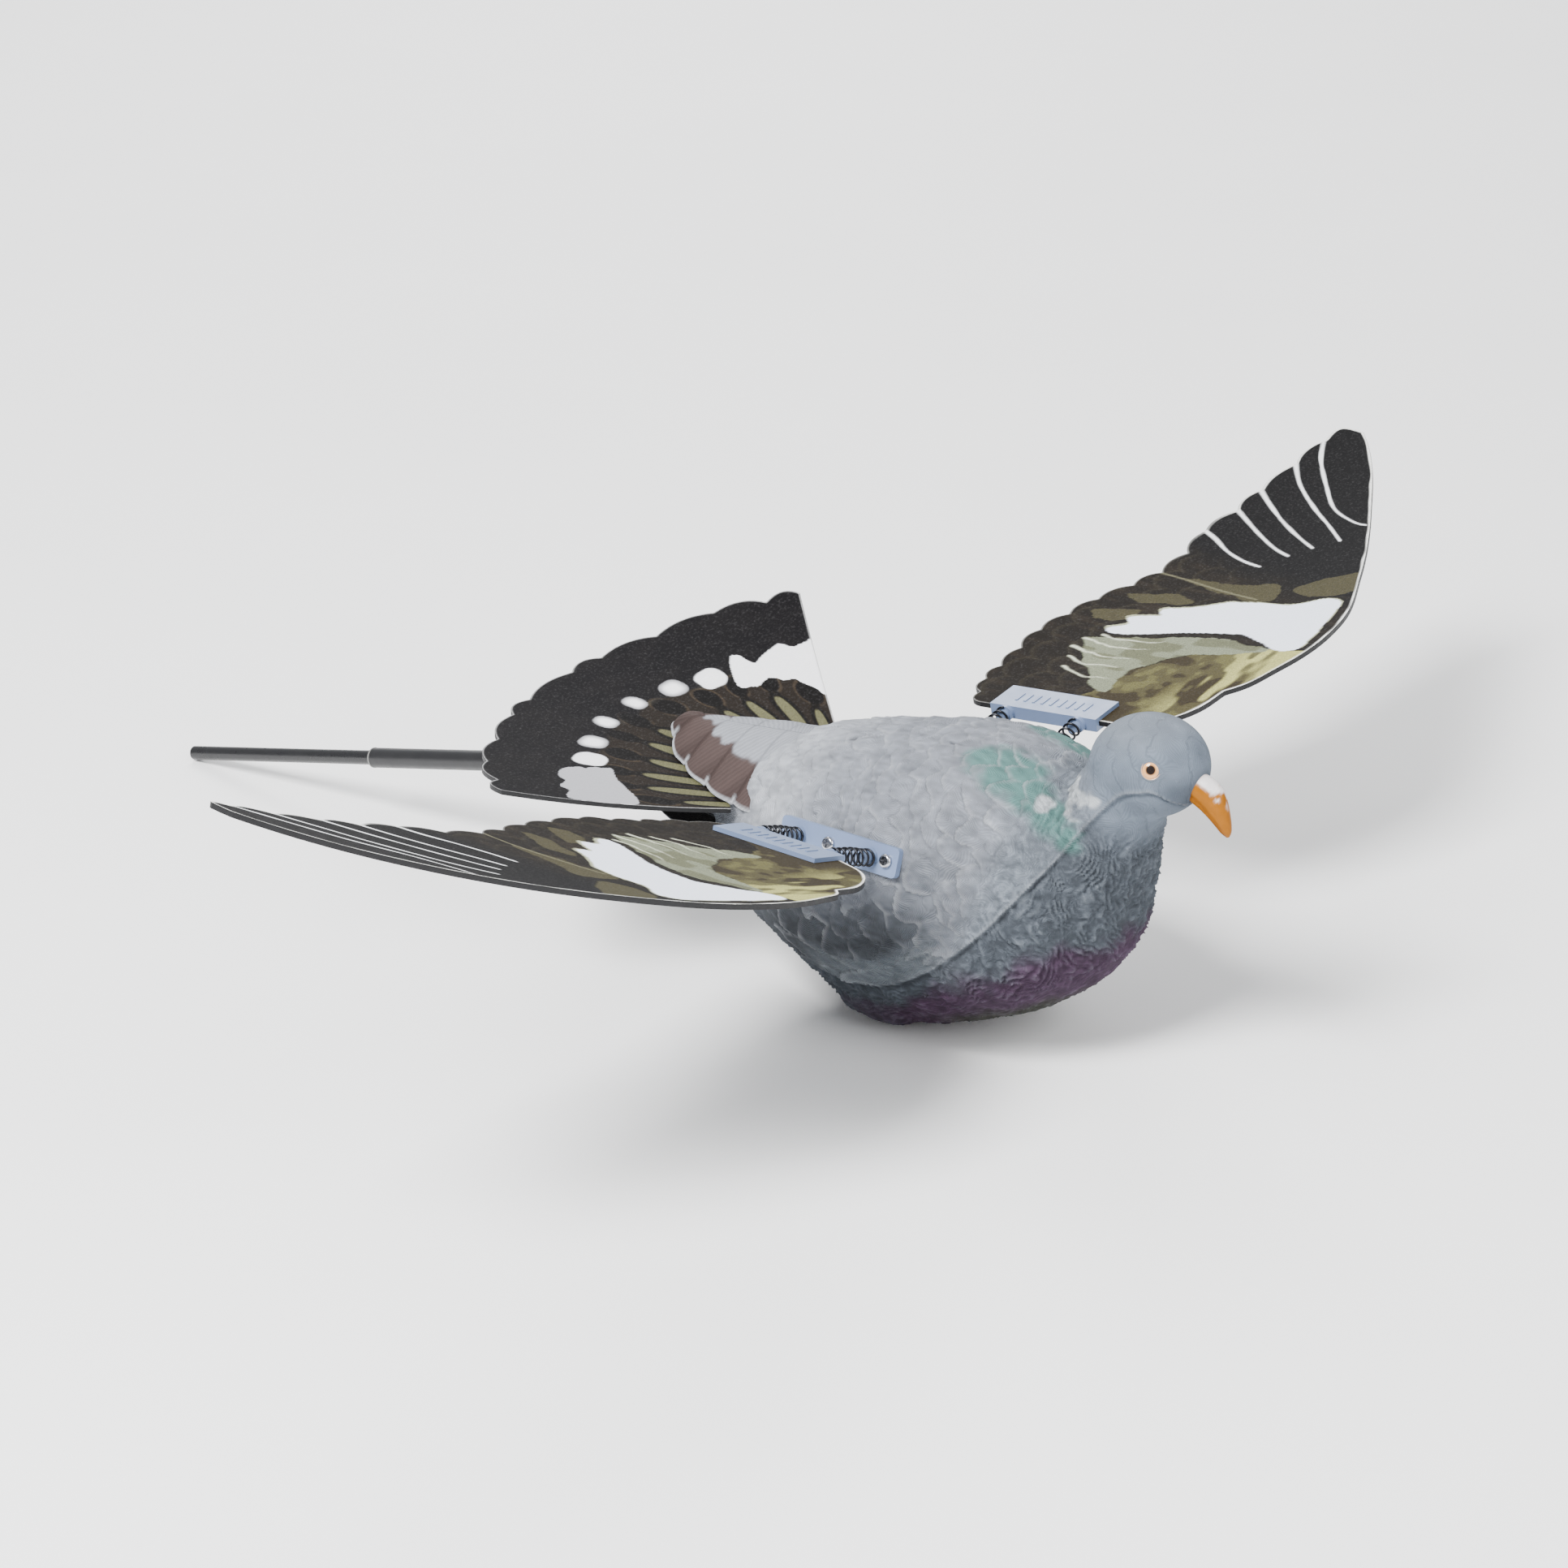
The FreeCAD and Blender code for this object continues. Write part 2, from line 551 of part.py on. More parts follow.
# ---------------------------------------------------------------- wings
# Wing planform, forward and outward of the flapping axis. The leading edge is one smooth
# curve; the trailing edge is a row of lobes between these notches, from tip to root.
ROOT_LOBE = [(44.0, 23.0), (53.5, 34.0), (60.0, 47.0), (62.8, 62.0)]
LEADING = [(62.8, 62.0), (69.5, 69.5), (75.5, 84.0), (80.0, 108.0), (77.5, 139.0),
           (58.0, 190.0), (27.0, 254.0), (-8.0, 313.0), (-15.0, 321.5)]
TIP = (-25.5, 325.5)
NOTCHES = [(-29.0, 309.0), (-31.5, 285.0), (-34.5, 257.0), (-35.0, 235.0), (-38.5, 211.0), (-34.5, 188.0),
           (-35.0, 166.0), (-40.0, 149.0), (-47.0, 129.5), (-50.5, 110.5), (-53.5, 91.0), (-52.0, 72.5),
           (-51.5, 55.0), (-51.5, 42.5), (-46.5, 30.0)]
WING_LOBE = 3.2


def wing_root(side):
    """How far out the sheet begins, just inside its clip."""
    return dim(side + "_clip_inner") + dim("clip_wall")


def wing_outline(side):
    sign = SIDES[side]
    root = wing_root(side)
    root_lobe = [(1.8 * root - 1.2, root)] + ROOT_LOBE
    notches = NOTCHES + [(-0.6 * root - 27.6, root)]

    def at(forward, outward):
        return Vector(sign * outward, -forward, 0)

    edges = [spline_edge([at(*point) for point in points]) for points in (root_lobe, LEADING)]
    tip_arc = Part.Arc(at(*LEADING[-1]), at(*TIP), at(*NOTCHES[0]))
    edges.append(tip_arc)
    for start, end in zip(notches, notches[1:]):
        edges.append(lobe(at(*start), at(*end), -sign * WING_LOBE))
    edges.append(Part.LineSegment(at(*notches[-1]), at(*root_lobe[0])))
    return edges


def curled_profile(side, low, high):
    """Side view of the sheet: flat from the root, then curling up along an arc."""
    sign = SIDES[side]
    start, radius = dim(side + "_curl_start"), dim(side + "_curl_radius")
    reach = 350.0
    angle = (reach - start) / radius
    edges = []
    ends = []
    for level in (low, high):
        inner = radius - level
        knee = Vector(sign * start, level, 0)
        middle = Vector(sign * (start + inner * math.sin(angle / 2)), radius - inner * math.cos(angle / 2), 0)
        tip = Vector(sign * (start + inner * math.sin(angle)), radius - inner * math.cos(angle), 0)
        root = Vector(sign * 5.0, level, 0)
        edges.append(Part.LineSegment(root, knee))
        edges.append(Part.Arc(knee, middle, tip))
        ends.append((root, tip))
    edges.append(Part.LineSegment(ends[0][0], ends[1][0]))
    edges.append(Part.LineSegment(ends[0][1], ends[1][1]))
    return edges


def peg_places(side):
    middle = (dim(side + "_clip_inner") + dim("clip_width") / 2 + 2.0) * SIDES[side]
    return [(middle, dim("clip_back") + step * dim("spigot_pitch") / 2) for step in (-1, 0, 1)]


def add_wing_sheet(side, name, low, high):
    sheet_body = body(side + name + "_body")
    profile = sketch(sheet_body, side + name + "_profile", "XZ_Plane", curled_profile(side, low, high))
    pad(sheet_body, side + name + "_slab", profile, "180", midplane=True)
    frame = rectangle(-400, -120, 400, 120)
    trim = sketch(sheet_body, side + name + "_trim", "XY_Plane", frame + wing_outline(side), Vector(0, 0, 60))
    pocket(sheet_body, side + name + "_cut", trim, "120")
    holes = [circle(x, y, dim("peg_radius") + dim("peg_clear")) for x, y in peg_places(side)]
    punch = sketch(sheet_body, side + name + "_pegs", "XY_Plane", holes, Vector(0, 0, 20))
    pocket(sheet_body, side + name + "_holes", punch, "40")
    subpart(sheet_body, side + name, wing_frame(side))


def clip_rectangle(side):
    inner, width = dim(side + "_clip_inner"), dim("clip_width")
    x_ends = sorted((SIDES[side] * inner, SIDES[side] * (inner + width)))
    half = dim("clip_length") / 2
    return rectangle(x_ends[0], dim("clip_back") - half, x_ends[1], dim("clip_back") + half)


def add_clip(side):
    sign = SIDES[side]
    top_level = dim("wing_core") / 2 + dim("wing_print")
    low_level = -dim("wing_core") / 2

    upper = body(side + "_clip_upper_body")
    plan = sketch(upper, side + "_cu_plan", "XY_Plane", clip_rectangle(side), Vector(0, 0, top_level))
    pad(upper, side + "_cu_pad", plan, "Dims.clip_skin")
    # A row of small plain ribs on the clip's face.
    ribs = []
    middle = sign * (dim(side + "_clip_inner") + dim("clip_width") / 2)
    for step in range(-4, 5):
        y = dim("clip_back") + step * 4.5
        ribs += rectangle(middle - 3.5, y - 0.6, middle + 3.5, y + 0.6)
    rib_plan = sketch(upper, side + "_cu_ribs", "XY_Plane", ribs, Vector(0, 0, top_level + dim("clip_skin")))
    pad(upper, side + "_cu_rib_pad", rib_plan, "0.35")
    holes = [circle(x, y, dim("peg_radius") + dim("rod_fit")) for x, y in peg_places(side)]
    sockets = sketch(upper, side + "_cu_sockets", "XY_Plane", holes, Vector(0, 0, top_level + 1.2))
    pocket(upper, side + "_cu_socket_cut", sockets, "2")
    subpart(upper, side + "_clip_upper", wing_frame(side))

    lower = body(side + "_clip_lower_body")
    plan = sketch(lower, side + "_cl_plan", "XY_Plane", clip_rectangle(side), Vector(0, 0, low_level))
    pad(lower, side + "_cl_pad", plan, "Dims.clip_skin", reverse=True)
    inner = dim(side + "_clip_inner")
    half = dim("clip_length") / 2
    x_ends = sorted((sign * inner, sign * (wing_root(side) - 0.3)))
    wall = sketch(lower, side + "_cl_wall", "XY_Plane",
                  rectangle(x_ends[0], dim("clip_back") - half, x_ends[1], dim("clip_back") + half),
                  Vector(0, 0, low_level))
    pad(lower, side + "_cl_wall_pad", wall, str(top_level - low_level))
    pegs = sketch(lower, side + "_cl_pegs", "XY_Plane",
                  [circle(x, y, dim("peg_radius")) for x, y in peg_places(side)], Vector(0, 0, low_level))
    pad(lower, side + "_cl_peg_pad", pegs, str(top_level - low_level + 1.0))
    spots = [dim("clip_back") + step * dim("spigot_pitch") / 2 for step in (-1, 1)]
    for name, radius, reach in (("collar", dim("collar_radius"), dim("collar_length")),
                                ("spigot", dim("spigot_radius"), dim("collar_length") + dim("spigot_reach"))):
        rounds = sketch(lower, side + "_cl_" + name, "YZ_Plane", [circle(y, 0, radius) for y in spots],
                        Vector(0, 0, sign * (inner + 0.6)))
        pad(lower, side + "_cl_%s_pad" % name, rounds, str(reach + 0.6), reverse=(sign > 0))
    doc.recompute()
    trimmed = doc.addObject("Part::Cut", side + "_clip_lower_cut")
    keep_out = doc.addObject("Part::Box", side + "_clip_keep_out")
    keep_out.Length = 30
    keep_out.Width = 80
    keep_out.Height = 10
    x_low = inner if sign > 0 else -inner - 30
    keep_out.Placement = Placement(Vector(x_low, dim("clip_back") - 40, top_level), Rotation())
    holes = doc.addObject("Part::Feature", side + "_clip_peg_room")
    holes.Shape = Part.makeCompound([Part.makeCylinder(dim("peg_radius"), 12, Vector(x, y, top_level - 1))
                                     for x, y in peg_places(side)])
    solid_room = doc.addObject("Part::Cut", side + "_clip_room")
    solid_room.Base = keep_out
    solid_room.Tool = holes
    trimmed.Base = lower
    trimmed.Tool = solid_room
    subpart(trimmed, side + "_clip_lower", wing_frame(side))


# ---------------------------------------------------------------- plates, screws and springs
def add_plate(side):
    plate = body(side + "_plate_body")
    outline = rounded_rectangle(dim("plate_length") / 2, dim("plate_height") / 2, 2.0)
    face = sketch(plate, side + "_plate_face", "YZ_Plane", outline)
    pad(plate, side + "_plate_pad", face, "Dims.plate_thick")
    spots = spring_places(side)
    for name, radius, reach in (("collar", dim("collar_radius"), 1.0), ("spigot", dim("spigot_radius"), 4.4)):
        rounds = sketch(plate, side + "_plate_" + name, "YZ_Plane", [circle(y, 0, radius) for y in spots],
                        Vector(0, 0, dim("plate_thick") - 0.5))
        pad(plate, side + "_plate_%s_pad" % name, rounds, str(reach + 0.5))
    holes = [circle(y, 0, dim("screw_radius") + 0.15) for y in screw_places(side)]
    drill = sketch(plate, side + "_plate_holes", "YZ_Plane", holes, Vector(0, 0, dim("plate_thick")))
    pocket(plate, side + "_plate_drill", drill, "Dims.plate_thick")
    subpart(plate, side + "_plate", plate_frame(side))

    screws = [screw_shape(Placement(Vector(dim("plate_thick"), y, 0),
                                    Rotation(Vector(0, 0, 1), Vector(1, 0, 0))))
              for y in screw_places(side)]
    feature(side + "_plate_screws", Part.makeCompound(screws), plate_frame(side))


def add_spring(side, place):
    """A coil on a gently bent centre line from the plate's collar to the clip's collar."""
    sign = SIDES[side]
    step = {"front": -1, "rear": 1}[place]
    plate, wing = plate_frame(side), wing_frame(side)
    seat = 1.0 + dim("wire_radius") + 0.05
    plate_y = spring_places(side)[0 if place == "front" else 1]
    start = plate.multVec(Vector(dim("plate_thick") + seat, plate_y, 0))
    start_aim = plate.Rotation.multVec(Vector(1, 0, 0))
    clip_y = dim("clip_back") + step * dim("spigot_pitch") / 2
    end = wing.multVec(Vector(sign * (dim(side + "_clip_inner") - dim("collar_length") - dim("wire_radius") - 0.05),
                              clip_y, 0))
    end_aim = wing.Rotation.multVec(Vector(sign, 0, 0))
    pull = (end - start).Length / 3
    knots = [start, start + start_aim * pull, end - end_aim * pull, end]

    def centre(share):
        rest = 1 - share
        return (knots[0] * rest ** 3 + knots[1] * (3 * share * rest ** 2)
                + knots[2] * (3 * share ** 2 * rest) + knots[3] * share ** 3)

    points = []
    count = int(dim("coil_turns")) * 12
    for index in range(count + 1):
        share = index / count
        aim = centre(min(share + 0.01, 1)) - centre(max(share - 0.01, 0))
        aim.normalize()
        across = aim.cross(Vector(0, 1, 0))
        across.normalize()
        along = aim.cross(across)
        angle = 2 * math.pi * dim("coil_turns") * share
        spot = centre(share) + across * (dim("coil_radius") * math.cos(angle)) \
            + along * (dim("coil_radius") * math.sin(angle))
        points.append((spot.x, spot.y, spot.z))
    path = spline_edge(points).toShape()
    wire = Part.Wire(path)
    aim = path.tangentAt(path.FirstParameter)
    disc = Part.Wire(Part.Circle(Vector(*points[0]), aim, dim("wire_radius")).toShape())
    feature("%s_spring_%s" % (side, place), wire.makePipeShell([disc], True, True))


# ---------------------------------------------------------------- assembly
upper_shape, lower_shape = shells()
feature("upper_shell", upper_shape, SHELL_FRAME)
feature("lower_shell", lower_shape, SHELL_FRAME)
for eye_side, eye_sign in SIDES.items():
    feature(eye_side + "_eye", eye_shape(eye_sign, 0.0), SHELL_FRAME)
add_rod()
add_tail()
for wing_side in SIDES:
    add_plate(wing_side)
    for spring_place in ("front", "rear"):
        add_spring(wing_side, spring_place)
    add_clip(wing_side)
    half_core = dim("wing_core") / 2
    add_wing_sheet(wing_side, "_wing_core", -half_core, half_core)
    add_wing_sheet(wing_side, "_wing_print", half_core, half_core + dim("wing_print"))
doc.recompute()

for item in doc.Objects:
    if "Invalid" in item.State or "Error" in item.State:
        raise RuntimeError("%s failed: %s" % (item.Label, item.State))
for item in SUBPARTS:
    if item.Shape.isNull() or not item.Shape.isValid() or not item.Shape.Solids:
        raise RuntimeError("%s has no valid solid" % item.Label)

os.makedirs("parts", exist_ok=True)
for item in SUBPARTS:
    item.Shape.exportStep("parts/%s.step" % item.Label)
    box = item.Shape.BoundBox
    print("%-20s solids %d volume %8.0f  x %.1f..%.1f y %.1f..%.1f z %.1f..%.1f" % (
        item.Label, len(item.Shape.Solids), item.Shape.Volume,
        box.XMin, box.XMax, box.YMin, box.YMax, box.ZMin, box.ZMax))
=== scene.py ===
"""Looks of the wood-pigeon decoy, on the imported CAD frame.

Everything is in metres in the row frame: +Z up, the bird faces -Y, its left wing is on +X.
"""
import json
import math
import bpy
import numpy as np
from mathutils import Matrix, Vector

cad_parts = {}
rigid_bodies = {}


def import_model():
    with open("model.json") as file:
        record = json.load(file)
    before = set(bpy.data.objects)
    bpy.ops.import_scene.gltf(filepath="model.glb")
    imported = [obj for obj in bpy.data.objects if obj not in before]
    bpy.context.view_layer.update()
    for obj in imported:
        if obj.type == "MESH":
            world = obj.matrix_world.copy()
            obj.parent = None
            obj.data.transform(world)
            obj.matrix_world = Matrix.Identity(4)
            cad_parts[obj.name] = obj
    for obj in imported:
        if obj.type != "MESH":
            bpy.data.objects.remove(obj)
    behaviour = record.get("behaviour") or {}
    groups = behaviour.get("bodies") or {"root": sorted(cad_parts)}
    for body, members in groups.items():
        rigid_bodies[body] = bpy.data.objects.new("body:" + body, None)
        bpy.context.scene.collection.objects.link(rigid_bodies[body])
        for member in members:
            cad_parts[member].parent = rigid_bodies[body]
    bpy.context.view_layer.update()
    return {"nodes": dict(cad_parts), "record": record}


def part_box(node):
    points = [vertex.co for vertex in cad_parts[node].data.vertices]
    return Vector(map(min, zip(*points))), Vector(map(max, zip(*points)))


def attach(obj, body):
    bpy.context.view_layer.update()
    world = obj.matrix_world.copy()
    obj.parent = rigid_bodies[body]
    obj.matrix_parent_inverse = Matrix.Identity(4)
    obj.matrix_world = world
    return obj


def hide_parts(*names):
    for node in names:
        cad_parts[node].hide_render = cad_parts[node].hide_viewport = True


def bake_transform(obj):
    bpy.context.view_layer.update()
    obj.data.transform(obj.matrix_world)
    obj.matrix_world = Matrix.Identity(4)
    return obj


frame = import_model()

for leftover in ("Cube", "Camera", "Light"):
    if leftover in bpy.data.objects:
        bpy.data.objects.remove(bpy.data.objects[leftover])
MM = 0.001
JOINTS = {joint["name"]: joint for joint in frame["record"]["behaviour"]["joints"]}
SIDES = {"left": 1, "right": -1}


# ---------------------------------------------------------------- small helpers
def smooth(low, high, value):
    """0 below low, 1 above high, and an eased ramp between."""
    share = np.clip((np.asarray(value, float) - low) / (high - low), 0, 1)
    return share * share * (3 - 2 * share)


def mix(base, top, share):
    share = np.asarray(share, float)[..., None]
    return base * (1 - share) + np.asarray(top, float) * share


def colour(code):
    """Linear colour of a hex code."""
    parts = [int(code[i:i + 2], 16) / 255 for i in (0, 2, 4)]
    return np.array([((c + 0.055) / 1.055) ** 2.4 if c > 0.04045 else c / 12.92 for c in parts])


def paint(tint, code, share):
    """A coat of the coded colour over the tint, as thick as the share."""
    return mix(tint, colour(code), share)


def deepen(tint, saturation, level):
    """Paint as it is in the tin: richer and darker than it looks under strong studio light."""
    grey = tint.mean(1)[:, None]
    return np.clip(grey + (tint - grey) * saturation, 0.0005, 1) * level


def lattice_noise(points, size, seed=0):
    """Smooth value noise between -1 and 1 on 2-D or 3-D points, one cell per size."""
    table = np.random.default_rng(seed).uniform(-1, 1, 4096)
    cell = np.asarray(points, float) / size
    base = np.floor(cell).astype(np.int64)
    part = cell - base
    part = part * part * (3 - 2 * part)
    total = np.zeros(len(cell))
    primes = (73856093, 19349663, 83492791)
    for corner in range(2 ** cell.shape[1]):
        weight = np.ones(len(cell))
        code = np.zeros(len(cell), np.int64)
        for axis in range(cell.shape[1]):
            step = (corner >> axis) & 1
            weight *= part[:, axis] if step else 1 - part[:, axis]
            code ^= (base[:, axis] + step) * primes[axis]
        total += weight * table[np.abs(code) % 4096]
    return total


def unit(rows):
    """Each row of vectors at length one."""
    return rows / np.linalg.norm(rows, axis=1)[:, None]


def nearest_on(points, start, end):
    """Distance of each point from a straight run, and its place along it from 0 to 1."""
    run = end - start
    share = np.clip((points - start) @ run / max(run @ run, 1e-9), 0, 1)
    return np.linalg.norm(points - start - share[:, None] * run, axis=1), share


def make_mesh(name, points, faces, uniform=True):
    """An object from points in metres; uniform shades it smooth."""
    mesh = bpy.data.meshes.new(name)
    mesh.from_pydata([tuple(p) for p in points], [], faces)
    mesh.update()
    obj = bpy.data.objects.new(name, mesh)
    bpy.context.collection.objects.link(obj)
    if uniform:
        mesh.polygons.foreach_set("use_smooth", [True] * len(mesh.polygons))
    return obj


def store(obj, name, values):
    """A per-vertex colour or number for the materials to read."""
    mesh = obj.data
    values = np.asarray(values, float)
    if values.ndim == 2:
        layer = mesh.color_attributes.new(name, "FLOAT_COLOR", "POINT")
        packed = np.ones((len(values), 4))
        packed[:, :3] = values
        layer.data.foreach_set("color", packed.ravel())
    else:
        layer = mesh.attributes.new(name, "FLOAT", "POINT")
        layer.data.foreach_set("value", values)


def grid_faces(rows, columns, closed=False, flip=False):
    """Quads of a rows by columns grid; closed joins the last column to the first."""
    faces = []
    span = columns if closed else columns - 1
    for row in range(rows - 1):
        for column in range(span):
            after = (column + 1) % columns
            quad = [row * columns + column, row * columns + after,
                    (row + 1) * columns + after, (row + 1) * columns + column]
            faces.append(tuple(reversed(quad)) if flip else tuple(quad))
    return faces


def apply_modifiers(obj):
    depsgraph = bpy.context.evaluated_depsgraph_get()
    mesh = bpy.data.meshes.new_from_object(obj.evaluated_get(depsgraph))
    obj.modifiers.clear()
    old = obj.data
    obj.data = mesh
    bpy.data.meshes.remove(old)


def vertices(obj):
    flat = np.zeros(len(obj.data.vertices) * 3)
    obj.data.vertices.foreach_get("co", flat)
    return flat.reshape(-1, 3)


# ---------------------------------------------------------------- materials
def new_material(name, roughness, metallic=0.0, specular=0.5):
    material = bpy.data.materials.new(name)
    material.use_nodes = True
    shader = material.node_tree.nodes["Principled BSDF"]
    shader.inputs["Roughness"].default_value = roughness
    shader.inputs["Metallic"].default_value = metallic
    shader.inputs["Specular IOR Level"].default_value = specular
    return material, material.node_tree, shader


def node(tree, kind, **settings):
    made = tree.nodes.new(kind)
    for key, value in settings.items():
        setattr(made, key, value)
    return made


def scaled_coordinates(tree, scale):
    coordinates = node(tree, "ShaderNodeTexCoord")
    mapping = node(tree, "ShaderNodeMapping")
    mapping.inputs["Scale"].default_value = scale
    tree.links.new(coordinates.outputs["Object"], mapping.inputs["Vector"])
    return mapping.outputs["Vector"]


def noise_texture(tree, scale, detail=3.0, roughness=0.6):
    made = node(tree, "ShaderNodeTexNoise")
    made.inputs["Scale"].default_value = 1.0
    made.inputs["Detail"].default_value = detail
    made.inputs["Roughness"].default_value = roughness
    tree.links.new(scaled_coordinates(tree, scale), made.inputs["Vector"])
    return made.outputs["Fac"]


def math_node(tree, operation, first, second):
    made = node(tree, "ShaderNodeMath", operation=operation)
    for socket, value in zip(made.inputs, (first, second)):
        if isinstance(value, (int, float)):
            socket.default_value = value
        else:
            tree.links.new(value, socket)
    return made.outputs[0]


def ramp_node(tree, source, stops):
    made = node(tree, "ShaderNodeValToRGB")
    elements = made.color_ramp.elements
    while len(elements) < len(stops):
        elements.new(0.5)
    for element, (place, value) in zip(elements, stops):
        element.position = place
        element.color = (*value, 1) if hasattr(value, "__len__") else (value, value, value, 1)
    tree.links.new(source, made.inputs["Fac"])
    return made.outputs["Color"]


def multiply(tree, base, shade):
    made = node(tree, "ShaderNodeMix", data_type="RGBA", blend_type="MULTIPLY")
    made.inputs[0].default_value = 1.0
    tree.links.new(base, made.inputs[6])
    tree.links.new(shade, made.inputs[7])
    return made.outputs[2]


def add_bump(tree, shader, height, strength, distance):
    made = node(tree, "ShaderNodeBump")
    made.inputs["Strength"].default_value = strength
    made.inputs["Distance"].default_value = distance
    tree.links.new(height, made.inputs["Height"])
    tree.links.new(made.outputs["Normal"], shader.inputs["Normal"])


def attribute(tree, name, output="Color"):
    made = node(tree, "ShaderNodeAttribute", attribute_name=name)
    return made.outputs[output]


def feather_material():
    """Matte paint over moulded feathers: fine barbs beside each shaft, with painted highlight on raised edges."""
    material, tree, shader = new_material("feather_paint", 0.80, specular=0.12)
    barb = node(tree, "ShaderNodeMath", operation="SINE")
    wobble = math_node(tree, "MULTIPLY", noise_texture(tree, (260, 260, 260), 4.0), 5.0)
    phase = math_node(tree, "ADD", math_node(tree, "MULTIPLY", attribute(tree, "barb", "Fac"), 6.3), wobble)
    tree.links.new(phase, barb.inputs[0])
    lines = math_node(tree, "MULTIPLY", math_node(tree, "ADD", barb.outputs[0], 1.0), 0.5)
    fuzz = noise_texture(tree, (900, 900, 900), 4.0, 0.7)
    mottle = noise_texture(tree, (75, 75, 75), 5.0, 0.62)
    # Painted highlight: the raised barb lines are painted lighter, over a random mottle.
    tone = math_node(tree, "ADD", math_node(tree, "MULTIPLY", lines, 0.35),
                     math_node(tree, "MULTIPLY", mottle, 0.9))
    base = multiply(tree, attribute(tree, "tint"), ramp_node(tree, tone, [(0.2, 0.80), (0.55, 1.0), (0.9, 1.16)]))
    tree.links.new(base, shader.inputs["Base Color"])
    fine = attribute(tree, "fine", "Fac")
    raised = math_node(tree, "ADD", lines, math_node(tree, "MULTIPLY", fuzz, 0.9))
    height = math_node(tree, "MULTIPLY", raised, fine)
    add_bump(tree, shader, height, 0.55, 0.0005)
    return material


def woven_print_material(name):
    """Printed cloth: the picture on the vertices, the weave and ink speckle in the nodes."""
    material, tree, shader = new_material(name, 0.75, specular=0.08)
    weave_x = node(tree, "ShaderNodeTexWave", bands_direction="X")
    weave_y = node(tree, "ShaderNodeTexWave", bands_direction="Y")
    for wave in (weave_x, weave_y):
        wave.inputs["Scale"].default_value = 1.0
        wave.inputs["Distortion"].default_value = 0.6
        tree.links.new(scaled_coordinates(tree, (520, 520, 520)), wave.inputs["Vector"])
    weave = math_node(tree, "MULTIPLY", weave_x.outputs["Fac"], weave_y.outputs["Fac"])
    speck = noise_texture(tree, (1500, 1500, 1500), 2.0, 0.8)
    shade = math_node(tree, "ADD", math_node(tree, "MULTIPLY", weave, 0.35), speck)
    grain = ramp_node(tree, shade, [(0.30, 0.50), (0.60, 1.0), (0.90, 1.75)])
    made = node(tree, "ShaderNodeMix", data_type="RGBA", blend_type="MULTIPLY")
    tree.links.new(attribute(tree, "grain", "Fac"), made.inputs[0])
    tree.links.new(attribute(tree, "tint"), made.inputs[6])
    tree.links.new(grain, made.inputs[7])
    fleck = math_node(tree, "MULTIPLY", ramp_node(tree, noise_texture(tree, (820, 820, 820), 3.0, 0.75),
                                                  [(0.52, 0.0), (0.75, 0.13)]), attribute(tree, "grain", "Fac"))
    pale = node(tree, "ShaderNodeMix", data_type="RGBA")
    pale.inputs[7].default_value = (0.19, 0.185, 0.19, 1)
    tree.links.new(fleck, pale.inputs[0])
    tree.links.new(made.outputs[2], pale.inputs[6])
    tree.links.new(pale.outputs[2], shader.inputs["Base Color"])
    add_bump(tree, shader, weave, 0.25, 0.0002)
    return material


def gloss_paint_material(name, roughness, specular=0.45, coat=0.3):
    """Hand-painted gloss: the picture on the vertices under a faintly uneven coat."""
    material, tree, shader = new_material(name, roughness, specular=specular)
    shader.inputs["Coat Weight"].default_value = coat
    wash = ramp_node(tree, noise_texture(tree, (260,) * 3, 3.0), [(0.3, 0.90), (0.7, 1.06)])
    tree.links.new(multiply(tree, attribute(tree, "tint"), wash), shader.inputs["Base Color"])
    add_bump(tree, shader, noise_texture(tree, (500,) * 3, 2.0), 0.12, 0.0003)
    return material


def plain_material(name, tint, roughness, metallic=0.0, specular=0.5, grain=700, depth=0.15, spread=0.12):
    """One moulded or turned material with a faint mottle and a fine surface grain."""
    material, tree, shader = new_material(name, roughness, metallic, specular)
    light = tuple(np.clip(np.asarray(tint) * (1 + spread), 0, 1))
    dark = tuple(np.asarray(tint) * (1 - spread))
    mottle = noise_texture(tree, (grain / 12,) * 3, 4.0)
    tree.links.new(ramp_node(tree, mottle, [(0.3, dark), (0.7, light)]), shader.inputs["Base Color"])
    rough = noise_texture(tree, (grain / 5,) * 3, 3.0)
    low, high = max(roughness - 0.06, 0.02), min(roughness + 0.06, 1)
    tree.links.new(ramp_node(tree, rough, [(0.3, low), (0.7, high)]), shader.inputs["Roughness"])
    add_bump(tree, shader, noise_texture(tree, (grain,) * 3, 2.0), depth, 0.0002)
    return material


FEATHER = feather_material()
WING_PRINT = woven_print_material("wing_cloth")
TAIL_PRINT = woven_print_material("tail_cloth")
BLACK_FOAM = plain_material("black_foam", colour("121214"), 0.55, specular=0.35, grain=1800, depth=0.5)
BLACK_ROD = plain_material("black_rod", colour("151517"), 0.30, specular=0.5, grain=900, depth=0.08)
BLACK_TUBE = plain_material("black_tube", colour("19191b"), 0.36, specular=0.5, grain=900, depth=0.12)
PALE_RING = plain_material("tube_mouth", colour("6f6f6d"), 0.5)
CLIP_PLASTIC = plain_material("clip_plastic", colour("677795"), 0.38, specular=0.45, grain=500,
                              depth=0.10, spread=0.05)
SPRING_WIRE = plain_material("spring_wire", colour("2f3034"), 0.30, metallic=1.0, grain=900, depth=0.05)
SCREW_METAL = plain_material("screw_metal", colour("b9babf"), 0.16, metallic=1.0, grain=900, depth=0.05)
BILL_PAINT = gloss_paint_material("bill_paint", 0.34, specular=0.18, coat=0.0)
EYE_PAINT = gloss_paint_material("eye_paint", 0.14)


